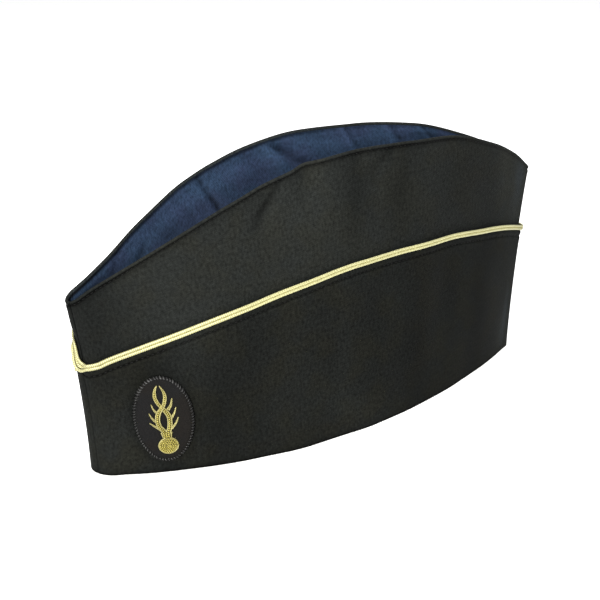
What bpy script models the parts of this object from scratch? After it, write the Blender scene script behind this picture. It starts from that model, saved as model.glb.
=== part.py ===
"""Cloth side cap, standing open on its base.

Metres, +Z up, front towards -Y, the wearer's left towards +X. The origin is on the
surface that the cap stands on, under the middle of its length.
"""

import math
from collections import namedtuple

import bmesh
import bpy
import numpy as np

# Crown: the outer face of the two side panels
BASE_LENGTH = 0.2764
BASE_WIDTH = 0.0798
CREST_WIDTH = 0.0535
CREST_HEIGHT = 0.152
FRONT_LEAN = 0.0059
BACK_LEAN = 0.0098
LEAN_POWER = 1.83
NOSE_RADIUS = 0.0080
CREST_NOSE_RADIUS = 0.0053
FOLD_ROOM = 0.0008
HEM_HEIGHT = 0.004
SIDE_SWELL = 0.0006

# Cloth and clearances
CROWN_CLOTH = 0.0012
TURNUP_CLOTH = 0.0012
GUSSET_CLOTH = 0.0010
LAYER_GAP = 0.0003
SEAM_GAP = 0.0004
FRONT_SEAM_SHIFT = 0.004

# Top piece between the crests
GUSSET_DROP = 0.050
GUSSET_FOLD = 1.3
CREST_EDGE = 0.0018
GUSSET_END = 1.955

# Step of the turn-up's top edge round the front: where it starts, its length round the
# nose, and the dip at its foot as (place, spread, depth)
STEP_START = 0.395
STEP_LENGTH = 0.0020
STEP_DIP = (0.385, 0.10, 0.012)

# Braid
BRAID_WIDTH = 0.0036
BRAID_THICKNESS = 0.0012
BRAID_OVERSHOOT = 0.0002

# Badge, placed by its distance round the cloth from the front
BADGE_FROM_FRONT = 0.041
BADGE_HEIGHT_ABOVE_BASE = 0.0300
BADGE_WIDTH = 0.0300
BADGE_HEIGHT = 0.0480
PATCH_CLOTH = 0.0010
EDGE_RADIUS = 0.0009
EMBROIDERY_HEIGHT = 0.0010
EMBROIDERY_SINK = 0.00012
STITCH_STAGGER = 0.00003
BALL_RADIUS = 0.0053
BALL_DOME = 0.28
BALL_DROP = 0.0157
NECK_WIDTH = 0.0052
NECK_LENGTH = 0.0056
NECK_FLARE = 0.25
FLAME_WIDTH = 0.0019

# Mesh density
NOSE_STEPS = 8
NOSE_CROWDING = 1.7
# Places of the braid's rings on the nose, with one ring at each corner of the step
BRAID_NOSE = (0.86, 0.72, 0.60, 0.49, 0.385, 0.31, 0.235, 0.12, -0.01, -0.15, -0.30,
              -0.45, -0.62, -0.80)
SIDE_STEPS = 25
BACK_STEPS = 4
CROWN_ROWS = 11
TURNUP_ROWS = 6
GUSSET_FOLDS = 12

# The shape along the cap: widths as shares of the half widths beyond the end radii, and
# the crest's height as a share of its highest
Station = namedtuple("Station", "along base_out crest_out rise")
STATIONS = (
    Station(0.00, 0.000, 0.000, 0.622),
    Station(0.03, 0.089, 0.036, 0.654),
    Station(0.08, 0.308, 0.212, 0.705),
    Station(0.16, 0.578, 0.599, 0.793),
    Station(0.26, 0.822, 0.895, 0.891),
    Station(0.38, 0.979, 1.001, 0.969),
    Station(0.50, 0.999, 0.959, 0.999),
    Station(0.62, 0.908, 0.948, 0.994),
    Station(0.74, 0.717, 0.641, 0.974),
    Station(0.86, 0.453, 0.433, 0.908),
    Station(0.94, 0.234, 0.190, 0.839),
    Station(1.00, 0.056, 0.000, 0.759),
)

# The turn-up's top edge as a share of the crest's height there, on each side
Edge = namedtuple("Edge", "along left right")
TURNUP_EDGE = (
    Edge(0.00, 0.662, 0.792),
    Edge(0.05, 0.656, 0.785),
    Edge(0.16, 0.640, 0.735),
    Edge(0.30, 0.626, 0.670),
    Edge(0.38, 0.624, 0.650),
    Edge(0.50, 0.631, 0.634),
    Edge(0.62, 0.636, 0.636),
    Edge(0.80, 0.643, 0.643),
    Edge(0.94, 0.663, 0.663),
    Edge(1.00, 0.678, 0.678),
)

# Soft hollows (negative) and swells of the cloth; spreads are shares of length and height
Dent = namedtuple("Dent", "side along up spread_along spread_up depth")
DENTS = (
    Dent(1, 0.305, 0.90, 0.022, 0.16, -0.0016),
    Dent(1, 0.396, 1.02, 0.022, 0.14, -0.0034),
    Dent(1, 0.480, 0.86, 0.036, 0.30, 0.0012),
    Dent(1, 0.600, 0.80, 0.050, 0.20, -0.0020),
    Dent(1, 0.780, 0.80, 0.060, 0.25, 0.0012),
    Dent(-1, 0.340, 0.88, 0.040, 0.20, -0.0014),
    Dent(-1, 0.640, 0.82, 0.060, 0.25, -0.0018),
)

# The hollow where the braid pulls the front in; its place and spread are turns round the nose
FrontDent = namedtuple("FrontDent", "turn up spread_turn spread_up depth")
FRONT_DENT = FrontDent(-0.24, 0.765, 0.40, 0.09, -0.0008)

# How deep the top piece's fold hangs, as a share of the full drop
Drop = namedtuple("Drop", "along depth")
GUSSET_DROPS = (
    Drop(0.00, 0.18),
    Drop(0.10, 0.48),
    Drop(0.25, 0.85),
    Drop(0.40, 1.00),
    Drop(0.60, 1.00),
    Drop(0.80, 0.72),
    Drop(0.95, 0.22),
    Drop(1.00, 0.10),
)

# Flames of the grenade: points across and up from the badge's middle, as shares of its
# half width and half height, from root to tip
Flame = namedtuple("Flame", "name width points")
FLAMES = (
    Flame("crossing_a", 1.0, ((0.00, -0.40), (0.16, -0.13), (0.17, 0.03), (0.02, 0.19),
                              (-0.16, 0.32), (-0.24, 0.48), (-0.24, 0.62), (-0.13, 0.78))),
    Flame("crossing_b", 1.0, ((-0.06, -0.40), (-0.22, -0.13), (-0.22, 0.06), (-0.06, 0.24),
                              (0.05, 0.36), (0.09, 0.50), (0.06, 0.62), (-0.05, 0.77))),
    Flame("front_high", 0.6, ((-0.24, 0.10), (-0.34, 0.23), (-0.39, 0.37))),
    Flame("front_mid", 0.6, ((-0.22, -0.12), (-0.38, -0.01), (-0.48, 0.15))),
    Flame("front_low", 0.6, ((-0.08, -0.32), (-0.34, -0.21), (-0.49, -0.07))),
    Flame("back_high", 0.7, ((0.10, 0.14), (0.24, 0.29), (0.30, 0.45))),
    Flame("back_mid", 0.6, ((0.17, -0.02), (0.32, 0.09), (0.40, 0.23))),
    Flame("back_low", 0.6, ((0.10, -0.30), (0.32, -0.16), (0.43, 0.00))),
)


def column(table, name):
    return np.array([getattr(row, name) for row in table], float)


def smooth(xs, ys, x):
    """Monotone cubic through the table's rows, so that no row is overshot."""
    slopes = np.diff(ys) / np.diff(xs)
    tangents = np.zeros_like(ys)
    inner = slopes[:-1] * slopes[1:] > 0
    safe = np.where(inner, slopes[:-1] * slopes[1:], 1.0)
    total = np.where(inner, slopes[:-1] + slopes[1:], 1.0)
    tangents[1:-1] = np.where(inner, 2 * safe / total, 0.0)
    tangents[0], tangents[-1] = slopes[0], slopes[-1]
    x = np.clip(x, xs[0], xs[-1])
    i = np.clip(np.searchsorted(xs, x, side="right") - 1, 0, len(xs) - 2)
    width = xs[i + 1] - xs[i]
    t = (x - xs[i]) / width
    return (
        ys[i] * (1 + 2 * t) * (1 - t) ** 2
        + tangents[i] * width * t * (1 - t) ** 2
        + ys[i + 1] * t * t * (3 - 2 * t)
        + tangents[i + 1] * width * t * t * (t - 1)
    )


def from_table(table, name, along):
    return smooth(column(table, "along"), column(table, name), along)


def back_radius():
    return CROWN_CLOTH + FOLD_ROOM


# Places round the cap are given by q: 0 is the middle of the front, 1 the end of the
# rounded nose, 2 the start of the back fold and 3 its end, and q < 0 is the wearer's right
def plan(q, length, width, nose, column_name):
    """Distance from the front end, half width and share along, for one level."""
    turn = np.abs(q)
    back = back_radius()
    front_angle = np.clip(turn, 0, 1) * math.pi / 2
    back_angle = np.clip(turn - 2, 0, 1) * math.pi / 2
    middle = np.clip(turn - 1, 0, 1) * (length - nose - back)
    distance = nose * (1 - np.cos(front_angle)) + middle + back * np.sin(back_angle)
    along = distance / length
    end_radius = nose + (back - nose) * along
    half = end_radius + from_table(STATIONS, column_name, along) * (width / 2 - end_radius)
    return distance, half * np.sin(front_angle) * np.cos(back_angle), along


def wall(q, share, outward):
    """Points of the crown's outer face at shares of the crest's height, moved outward."""
    q, share = np.broadcast_arrays(np.asarray(q, float), np.asarray(share, float))
    step = 1e-4
    ahead = raw_wall(q + step, share)
    behind = raw_wall(q - step, share)
    run = ahead - behind
    normal = np.stack([run[..., 1], -run[..., 0], np.zeros_like(run[..., 0])], -1)
    normal /= np.linalg.norm(normal, axis=-1, keepdims=True)
    dents = dent_depth(q, share)
    return raw_wall(q, share) + normal * (outward + dents)[..., None]


def raw_wall(q, share):
    crest_length = BASE_LENGTH + FRONT_LEAN + BACK_LEAN
    base_y, base_x, along = plan(q, BASE_LENGTH, BASE_WIDTH, NOSE_RADIUS, "base_out")
    crest_y, crest_x, crest_along = plan(
        q, crest_length, CREST_WIDTH, CREST_NOSE_RADIUS, "crest_out"
    )
    height = CREST_HEIGHT * from_table(STATIONS, "rise", crest_along)
    z = share * height
    lift = np.clip((z - HEM_HEIGHT) / (height - HEM_HEIGHT), 0, None)
    ends = np.clip(np.abs(q), 0, 1) * np.clip(3 - np.abs(q), 0, 1)
    swell = SIDE_SWELL * 4 * lift * (1 - lift) * ends
    x = base_x + (crest_x - base_x) * lift + swell
    y = base_y + (crest_y - FRONT_LEAN - base_y) * lift**LEAN_POWER
    middle = (BASE_LENGTH + BACK_LEAN - FRONT_LEAN) / 2
    return np.stack([np.sign(q) * x, y - middle, z], -1)


def dent_depth(q, share):
    along = np.clip((np.abs(q) - 1), 0, 1)
    depth = np.zeros_like(along)
    for dent in DENTS:
        near = np.exp(
            -(((along - dent.along) / dent.spread_along) ** 2)
            - ((share - dent.up) / dent.spread_up) ** 2
        )
        depth += np.where(q * dent.side > 0, dent.depth * near, 0.0)
    front = FRONT_DENT
    near = np.exp(
        -(((q - front.turn) / front.spread_turn) ** 2)
        - ((share - front.up) / front.spread_up) ** 2
    )
    return depth + front.depth * near * np.clip((1.2 - np.abs(q)) / 0.3, 0, 1)


def share_along(q):
    return plan(q, BASE_LENGTH, BASE_WIDTH, NOSE_RADIUS, "base_out")[2]


def crest_height(q):
    length = BASE_LENGTH + FRONT_LEAN + BACK_LEAN
    along = plan(q, length, CREST_WIDTH, CREST_NOSE_RADIUS, "crest_out")[2]
    return CREST_HEIGHT * from_table(STATIONS, "rise", along)


def front_seam():
    """q of the front seam, a little to the wearer's left of the middle."""
    return math.asin(FRONT_SEAM_SHIFT / NOSE_RADIUS) * 2 / math.pi


def edge_share(q):
    """The turn-up's top edge: it dips, then steps up steeply at the front."""
    along = share_along(q)
    left = from_table(TURNUP_EDGE, "left", along)
    right = from_table(TURNUP_EDGE, "right", along)
    per_turn = NOSE_RADIUS * math.pi / 2
    place = np.clip((STEP_START - q) * per_turn / STEP_LENGTH, 0, 1)
    at, spread, deep = STEP_DIP
    dip = deep * np.exp(-(((q - at) / spread) ** 2))
    return left + (right - left) * place * place * (3 - 2 * place) - dip


def side_turns(side):
    """q of each column of one panel, from the front seam to the back seam.

    The nose's columns crowd towards the seam, where the turn-up's edge steps.
    """
    seam = front_seam()
    half_gap = SEAM_GAP / 2 / (NOSE_RADIUS * math.pi / 2)
    first = seam + half_gap if side > 0 else seam - half_gap
    count = NOSE_STEPS if side > 0 else NOSE_STEPS + NOSE_STEPS // 2
    nose = first + (side - first) * np.linspace(0, 1, count) ** NOSE_CROWDING
    body = side * np.linspace(1, 2, SIDE_STEPS + 1)[1:]
    back = side * np.linspace(2, 3, BACK_STEPS + 1)[1:]
    return np.concatenate([nose, body, back])


def panel_grid(side, top_share, rows, outward):
    """Columns of one side's panel. The last stands square to the back seam."""
    turns = side_turns(side)
    tops = top_share(turns)[:, None]
    hem = HEM_HEIGHT / crest_height(turns)[:, None]
    above = np.linspace(0, 1, rows + 1)[None, :]
    shares = np.concatenate([0 * hem, hem + (tops - hem) * above], axis=1)
    grid = wall(turns[:, None], shares, outward)
    grid[-2, :, 1:] = grid[-1, :, 1:]
    grid[-1, :, 0] = side * SEAM_GAP / 2
    return grid


def grid_mesh(name, grid, flip=False):
    """An open surface through a grid of points."""
    work = bmesh.new()
    rows = [[work.verts.new(point) for point in line] for line in grid]
    for a, b in zip(rows, rows[1:]):
        for i in range(len(a) - 1):
            corners = (a[i], b[i], b[i + 1], a[i + 1])
            work.faces.new(corners[::-1] if flip else corners)
    mesh = bpy.data.meshes.new(name)
    work.to_mesh(mesh)
    work.free()
    return mesh


def make_material(name, color, roughness, metallic=0.0):
    material = bpy.data.materials.new(name)
    material.use_nodes = True
    shader = material.node_tree.nodes["Principled BSDF"]
    shader.inputs["Base Color"].default_value = (*color, 1)
    shader.inputs["Roughness"].default_value = roughness
    shader.inputs["Metallic"].default_value = metallic
    return material


def add_object(name, mesh, material, collection):
    obj = bpy.data.objects.new(name, mesh)
    collection.objects.link(obj)
    mesh.materials.append(material)
    mesh.shade_smooth()
    mesh.set_sharp_from_angle(angle=math.radians(40))
    return obj


def solidify(obj, thickness):
    shell = obj.modifiers.new("Cloth", "SOLIDIFY")
    shell.thickness = thickness
    shell.offset = -1
    shell.use_even_offset = True
    return obj


def make_crown(side, name, material, collection):
    grid = panel_grid(side, lambda q: np.ones_like(q), CROWN_ROWS, 0.0)
    mesh = grid_mesh(name, grid, flip=side < 0)
    return solidify(add_object(name, mesh, material, collection), CROWN_CLOTH)


def make_turnup(side, name, material, collection):
    grid = panel_grid(side, edge_share, TURNUP_ROWS, LAYER_GAP + TURNUP_CLOTH)
    mesh = grid_mesh(name, grid, flip=side < 0)
    return solidify(add_object(name, mesh, material, collection), TURNUP_CLOTH)


def make_gusset(name, material, collection):
    """The top piece: hung from inside both crests, with a rounded fold between them."""
    # the same columns as the crown's, so that the two keep their gap in the folds
    turns = np.append(np.linspace(1, 2, SIDE_STEPS + 1)[:-2], GUSSET_END)
    crest_length = BASE_LENGTH + FRONT_LEAN + BACK_LEAN
    along = plan(turns, crest_length, CREST_WIDTH, CREST_NOSE_RADIUS, "crest_out")[2]
    edge = 1 - CREST_EDGE / crest_height(turns)
    inward = -(CROWN_CLOTH + LAYER_GAP + GUSSET_CLOTH)
    left = wall(turns, edge, inward)
    right = wall(-turns, edge, inward)
    drop = GUSSET_DROP * from_table(GUSSET_DROPS, "depth", along)
    across = np.linspace(-1, 1, GUSSET_FOLDS + 1)
    blend = (across + 1) / 2
    grid = right[:, None] + (left - right)[:, None] * blend[None, :, None]
    grid[..., 2] -= drop[:, None] * (1 - np.abs(across) ** GUSSET_FOLD)[None, :]
    mesh = grid_mesh(name, grid, flip=True)
    return solidify(add_object(name, mesh, material, collection), GUSSET_CLOTH)


def braid_section():
    """Two round cords side by side with a groove between: (across, out) points."""
    half, thick = BRAID_WIDTH / 2, BRAID_THICKNESS
    return (
        (-1.00 * half, 0.25 * thick),
        (-0.92 * half, 0.75 * thick),
        (-0.50 * half, 1.00 * thick),
        (-0.10 * half, 0.75 * thick),
        (0.10 * half, 0.75 * thick),
        (0.50 * half, 1.00 * thick),
        (0.92 * half, 0.75 * thick),
        (1.00 * half, 0.25 * thick),
        (0.85 * half, 0.00 * thick),
        (-0.85 * half, 0.00 * thick),
    )


def make_braid(name, material, collection):
    """The braid runs all round, on the outer face of the turn-up at its top edge."""
    right = side_turns(-1)
    left = side_turns(1)
    nose = np.array(BRAID_NOSE[::-1])
    turns = np.concatenate([right[right <= -1][::-1], nose, left[left >= 1][:-1]])
    share = edge_share(turns)
    outward = 2 * LAYER_GAP + TURNUP_CLOTH
    path = wall(turns, share, outward)
    below = wall(turns, share - BRAID_WIDTH / CREST_HEIGHT, outward)
    run = np.roll(path, -1, 0) - np.roll(path, 1, 0)
    out = np.cross(run, path - below)
    out /= np.linalg.norm(out, axis=1, keepdims=True)
    up = np.cross(out, run)
    up /= np.linalg.norm(up, axis=1, keepdims=True)
    middle = path - up * (BRAID_WIDTH / 2 - BRAID_OVERSHOOT)
    # at a corner the section is wider, so that the braid keeps its width on both sides
    ahead = np.roll(path, -1, 0) - path
    ahead /= np.linalg.norm(ahead, axis=1, keepdims=True)
    bend = np.clip((ahead * np.roll(ahead, 1, 0)).sum(axis=1), 0.2, 1)
    up = up * np.sqrt(2 / (1 + bend))[:, None]
    section = braid_section()
    work = bmesh.new()
    rings = []
    for centre, across, away in zip(middle, up, out):
        ring = [work.verts.new(centre + across * a + away * b) for a, b in section]
        rings.append(ring)
    for a, b in zip(rings, rings[1:] + rings[:1]):
        for i in range(len(section)):
            j = (i + 1) % len(section)
            work.faces.new((a[i], a[j], b[j], b[i]))
    bmesh.ops.recalc_face_normals(work, faces=work.faces)
    mesh = bpy.data.meshes.new(name)
    work.to_mesh(mesh)
    work.free()
    return add_object(name, mesh, material, collection)


def on_turnup(mesh, lift):
    """Bends a flat mesh, drawn across and up from the badge's middle, onto the turn-up."""
    turns = np.linspace(0, 2, 400)
    level = BADGE_HEIGHT_ABOVE_BASE / crest_height(turns)
    track = wall(turns, level, LAYER_GAP + TURNUP_CLOTH)
    steps = np.linalg.norm(np.diff(track, axis=0), axis=1)
    travelled = np.concatenate([[0], np.cumsum(steps)])
    flat = np.empty(len(mesh.vertices) * 3, np.float32)
    mesh.vertices.foreach_get("co", flat)
    flat = flat.reshape(-1, 3)
    turn = np.interp(BADGE_FROM_FRONT + flat[:, 0], travelled, turns)
    share = (BADGE_HEIGHT_ABOVE_BASE + flat[:, 1]) / crest_height(turn)
    bent = wall(turn, share, LAYER_GAP + TURNUP_CLOTH + lift + flat[:, 2])
    mesh.vertices.foreach_set("co", bent.astype(np.float32).ravel())
    mesh.update()
    return mesh


def evaluated_mesh(obj):
    graph = bpy.context.evaluated_depsgraph_get()
    return bpy.data.meshes.new_from_object(obj.evaluated_get(graph))


def turned_mesh(name, profile, steps, helpers):
    """A profile of (radius, height) points, top to bottom, turned round Z."""
    mesh = bpy.data.meshes.new(name)
    points = [(radius, 0, height) for radius, height in profile]
    mesh.from_pydata(points, [(i, i + 1) for i in range(len(points) - 1)], [])
    obj = bpy.data.objects.new(name, mesh)
    helpers.objects.link(obj)
    screw = obj.modifiers.new("Turn", "SCREW")
    screw.steps = steps
    screw.render_steps = steps
    screw.use_merge_vertices = True
    screw.merge_threshold = 0.00005
    turned = evaluated_mesh(obj)
    bpy.data.objects.remove(obj)
    return turned


def stretch(mesh, across, up):
    for vertex in mesh.vertices:
        vertex.co.x *= across
        vertex.co.y *= up
    return mesh


def make_patch(name, material, collection, helpers):
    inner = BADGE_WIDTH / 2 - 2 * EDGE_RADIUS - LAYER_GAP
    rings = (0.0, 0.45, 0.8, 1.0)
    top = [(inner * share, PATCH_CLOTH) for share in rings]
    bottom = [(inner * share, 0.0) for share in reversed(rings)]
    mesh = turned_mesh(name, top + bottom, 32, helpers)
    tall = (BADGE_HEIGHT / 2 - 2 * EDGE_RADIUS - LAYER_GAP) / inner
    return add_object(name, on_turnup(stretch(mesh, 1, tall), LAYER_GAP), material, collection)


def make_badge_edge(name, material, collection):
    """The overcast edge: a round rim outside the patch."""
    across = BADGE_WIDTH / 2 - EDGE_RADIUS
    tall = BADGE_HEIGHT / 2 - EDGE_RADIUS
    steps, sides = 40, 6
    work = bmesh.new()
    rings = []
    for i in range(steps):
        angle = 2 * math.pi * i / steps
        place = np.array([math.cos(angle) * across, math.sin(angle) * tall])
        away = np.array([math.cos(angle) * tall, math.sin(angle) * across])
        away /= np.linalg.norm(away)
        ring = []
        for k in range(sides):
            turn = 2 * math.pi * (k + 0.5) / sides
            flat = place + away * EDGE_RADIUS * math.cos(turn)
            rise = EDGE_RADIUS * (1 + math.sin(turn))
            ring.append(work.verts.new((flat[0], flat[1], rise)))
        rings.append(ring)
    for a, b in zip(rings, rings[1:] + rings[:1]):
        for i in range(sides):
            j = (i + 1) % sides
            work.faces.new((a[i], a[j], b[j], b[i]))
    bmesh.ops.recalc_face_normals(work, faces=work.faces)
    mesh = bpy.data.meshes.new(name)
    work.to_mesh(mesh)
    work.free()
    return add_object(name, on_turnup(mesh, LAYER_GAP), material, collection)


def flame_object(flame, helpers):
    """A tapered cord along the flame's points, flattened onto the patch."""
    curve = bpy.data.curves.new(flame.name, "CURVE")
    curve.dimensions = "3D"
    curve.bevel_depth = FLAME_WIDTH / 2
    curve.bevel_resolution = 1
    curve.use_fill_caps = True
    curve.resolution_u = 3
    spline = curve.splines.new("BEZIER")
    spline.bezier_points.add(len(flame.points) - 1)
    last = len(flame.points) - 1
    for i, (point, (across, up)) in enumerate(zip(spline.bezier_points, flame.points)):
        point.co = (across * BADGE_WIDTH / 2, up * BADGE_HEIGHT / 2, 0)
        point.handle_left_type = point.handle_right_type = "AUTO"
        taper = 1.0 if i < last - 1 else (0.8 if i < last else 0.3)
        point.radius = flame.width * taper
    obj = bpy.data.objects.new(flame.name, curve)
    helpers.objects.link(obj)
    mesh = evaluated_mesh(obj)
    work = bmesh.new()
    work.from_mesh(mesh)
    bmesh.ops.remove_doubles(work, verts=work.verts, dist=0.00001)
    work.to_mesh(mesh)
    work.free()
    bpy.data.objects.remove(obj)
    tube = bpy.data.objects.new(flame.name, mesh)
    helpers.objects.link(tube)
    return tube


def helper_object(name, mesh, helpers):
    obj = bpy.data.objects.new(name, mesh)
    helpers.objects.link(obj)
    return obj


def ball_mesh():
    """The round bomb, domed a little and set at the foot of the badge."""
    work = bmesh.new()
    bmesh.ops.create_uvsphere(work, u_segments=20, v_segments=10, radius=BALL_RADIUS)
    for vertex in work.verts:
        vertex.co.z *= BALL_DOME
        vertex.co.y -= BALL_DROP
    mesh = bpy.data.meshes.new("ball")
    work.to_mesh(mesh)
    work.free()
    return mesh


def neck_mesh():
    """The waisted neck between the bomb and the flames."""
    work = bmesh.new()
    bmesh.ops.create_cone(
        work, cap_ends=True, segments=12, radius1=0.5, radius2=0.5, depth=1.0
    )
    foot = BALL_RADIUS * 0.6 - BALL_DROP
    top = foot + NECK_LENGTH
    for vertex in work.verts:
        across, depth, along = vertex.co
        vertex.co = (
            across * NECK_WIDTH * (1 + NECK_FLARE * along),
            (top + foot) / 2 + along * (top - foot),
            depth * EMBROIDERY_HEIGHT * 1.9,
        )
    bmesh.ops.recalc_face_normals(work, faces=work.faces)
    mesh = bpy.data.meshes.new("neck")
    work.to_mesh(mesh)
    work.free()
    return mesh


def below_mesh():
    """A block under the badge's plane, which leaves the embroidery a flat back."""
    work = bmesh.new()
    bmesh.ops.create_cube(work, size=BADGE_HEIGHT)
    for vertex in work.verts:
        vertex.co.z -= BADGE_HEIGHT / 2 + EMBROIDERY_SINK
    mesh = bpy.data.meshes.new("below")
    work.to_mesh(mesh)
    work.free()
    return mesh


def make_grenade(name, material, collection, helpers):
    """Ball, neck and flames joined as one raised embroidery, then bent onto the patch."""
    ball = helper_object("ball", ball_mesh(), helpers)
    pieces = [helper_object("neck", neck_mesh(), helpers)]
    pieces += [flame_object(flame, helpers) for flame in FLAMES]
    for order, piece in enumerate(pieces):
        piece.location.z = order * STITCH_STAGGER
        union = ball.modifiers.new(piece.name, "BOOLEAN")
        union.operation = "UNION"
        union.object = piece
    below = helper_object("below", below_mesh(), helpers)
    cut = ball.modifiers.new("Flat back", "BOOLEAN")
    cut.operation = "DIFFERENCE"
    cut.object = below
    joined = evaluated_mesh(ball)
    for piece in [ball, below] + pieces:
        bpy.data.objects.remove(piece)
    for vertex in joined.vertices:
        vertex.co.z += EMBROIDERY_SINK
    lift = 2 * LAYER_GAP + PATCH_CLOTH
    return add_object(name, on_turnup(joined, lift), material, collection)


def clear_scene():
    for obj in list(bpy.data.objects):
        bpy.data.objects.remove(obj)


def new_collection(name):
    collection = bpy.data.collections.new(name)
    bpy.context.scene.collection.children.link(collection)
    return collection


def main():
    clear_scene()
    cap = new_collection("side_cap")
    helpers = new_collection("helpers")
    black = make_material("black_twill", (0.022, 0.024, 0.020), 0.75)
    turned_up = make_material("turnup_twill", (0.022, 0.024, 0.020), 0.75)
    blue = make_material("blue_twill", (0.025, 0.045, 0.120), 0.7)
    gold = make_material("gold_braid", (0.75, 0.66, 0.30), 0.35, 0.6)
    patch = make_material("badge_cloth", (0.015, 0.015, 0.014), 0.85)
    overcast = make_material("badge_thread", (0.030, 0.032, 0.028), 0.6)
    thread = make_material("gold_thread", (0.70, 0.55, 0.16), 0.35, 0.6)
    make_crown(1, "crown_left", black, cap)
    make_crown(-1, "crown_right", black, cap)
    make_turnup(1, "turnup_left", turned_up, cap)
    make_turnup(-1, "turnup_right", turned_up, cap)
    make_gusset("crown_gusset", blue, cap)
    make_braid("braid", gold, cap)
    make_patch("badge_patch", patch, cap, helpers)
    make_badge_edge("badge_edge", overcast, cap)
    make_grenade("badge_grenade", thread, cap, helpers)
    bpy.data.collections.remove(helpers)


main()
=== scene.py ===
import math

import bmesh
import bpy
import numpy as np
from mathutils import Euler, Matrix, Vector


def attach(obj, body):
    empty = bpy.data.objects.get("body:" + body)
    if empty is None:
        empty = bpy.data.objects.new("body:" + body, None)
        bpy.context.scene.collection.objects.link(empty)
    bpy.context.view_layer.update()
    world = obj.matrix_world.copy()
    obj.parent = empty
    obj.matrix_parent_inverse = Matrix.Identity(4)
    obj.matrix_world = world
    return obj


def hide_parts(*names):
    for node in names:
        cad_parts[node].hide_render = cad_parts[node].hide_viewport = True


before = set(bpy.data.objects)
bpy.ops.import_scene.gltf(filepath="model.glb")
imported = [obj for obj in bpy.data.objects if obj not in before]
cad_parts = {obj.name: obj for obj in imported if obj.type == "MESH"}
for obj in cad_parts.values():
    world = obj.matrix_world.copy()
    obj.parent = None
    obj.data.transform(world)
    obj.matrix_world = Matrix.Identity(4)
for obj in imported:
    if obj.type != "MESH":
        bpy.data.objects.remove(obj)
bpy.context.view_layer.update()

# The cap's own form. Front is -Y, the wearer's left is +X. Lengths in metres.
cap = {
    "baseLength": 0.2764,
    "baseWidth": 0.0798,
    "crestWidth": 0.0535,
    "crestHeight": 0.152,
    "frontLean": 0.0059,
    "backLean": 0.0098,
    "leanPower": 1.83,
    "noseRadius": 0.0080,
    "crestNoseRadius": 0.0053,
    "backRadius": 0.0020,
    "hemHeight": 0.004,
    "sideSwell": 0.0006,
    "seamShift": 0.004,
    "waves": (9, 0.018, 0.060, 0.0011),  # how many, from and to length, height for each length
    "waveEnds": (0.05, 0.04),  # shares along over which they come in and run out
    # turn, share of the front step's rise from the left edge to the right one
    "step": np.array([
        (-0.70, 1.00), (-0.40, 0.975), (-0.20, 0.93), (-0.10, 0.90), (0.00, 0.85),
        (0.08, 0.77), (0.14, 0.67), (0.18, 0.56), (0.21, 0.42), (0.24, 0.27),
        (0.28, 0.165), (0.35, 0.08), (0.45, 0.02), (0.60, 0.00),
    ]),
    # share along, how far the base and the crest stand out, rise of the crest
    "stations": np.array([
        (0.00, 0.000, 0.000, 0.622), (0.03, 0.089, 0.036, 0.654), (0.08, 0.308, 0.212, 0.705),
        (0.16, 0.578, 0.599, 0.793), (0.26, 0.822, 0.895, 0.891), (0.38, 0.979, 1.001, 0.969),
        (0.50, 0.999, 0.959, 0.999), (0.62, 0.908, 0.948, 0.994), (0.74, 0.717, 0.641, 0.974),
        (0.86, 0.453, 0.433, 0.908), (0.94, 0.234, 0.190, 0.839), (1.00, 0.056, 0.000, 0.759),
    ]),
    # share along, height of the turn-up's edge on the left and on the right
    "edge": np.array([
        (0.00, 0.660, 0.803), (0.05, 0.656, 0.790), (0.16, 0.640, 0.735), (0.30, 0.626, 0.670),
        (0.38, 0.624, 0.650), (0.50, 0.631, 0.634), (0.62, 0.636, 0.636), (0.72, 0.6375, 0.6375),
        (0.80, 0.643, 0.643), (0.94, 0.668, 0.668), (1.00, 0.694, 0.694),
    ]),
    # where the braid pulls the front in: turn, share up, spread in turns, spread up, depth
    "frontDent": (-0.24, 0.765, 0.40, 0.060, -0.0017),
    "frontDentEnd": (1.2, 0.3),  # turn where it has run out, and over how many turns
    # broad dents: side, share along, share up, spread along, spread up, depth
    "dents": (
        (1, 0.305, 0.90, 0.022, 0.16, -0.0010), (1, 0.396, 1.02, 0.022, 0.14, -0.0034),
        (1, 0.480, 0.86, 0.036, 0.30, 0.0012), (1, 0.600, 0.80, 0.050, 0.20, -0.0020),
        (1, 0.780, 0.80, 0.060, 0.25, 0.0012), (-1, 0.340, 0.88, 0.040, 0.20, -0.0014),
        (-1, 0.640, 0.82, 0.060, 0.25, -0.0018),
    ),
    # small folds: side, share along, share up, angle, then half length, half width and height
    # in millimetres
    "folds": (
        (1, 0.308, 0.93, 52, 11, 2.2, -0.9), (1, 0.33, 0.93, 55, 14, 4, 0.4),
        (1, 0.49, 0.86, 84, 30, 7, -0.7), (1, 0.54, 0.9, 78, 18, 4, -0.5),
        (1, 0.577, 0.88, 100, 20, 4.5, 0.6), (1, 0.618, 0.9, 96, 18, 4, -0.6),
        (1, 0.455, 0.4, 88, 30, 6, 0.5), (1, 0.515, 0.38, 86, 30, 6, -0.5),
        (1, 0.72, 0.45, 70, 20, 7, -0.4), (1, 0.23, 0.5, 35, 16, 4, 0.3),
        (1, 0.18, 0.46, 30, 14, 3.5, -0.3), (-1, 0.3, 0.9, 75, 18, 4, -0.6),
        (-1, 0.46, 0.85, 95, 24, 6, 0.6), (-1, 0.56, 0.4, 84, 30, 7, -0.5),
        (-1, 0.25, 0.35, 98, 26, 7, 0.4),
    ),
}


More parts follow.
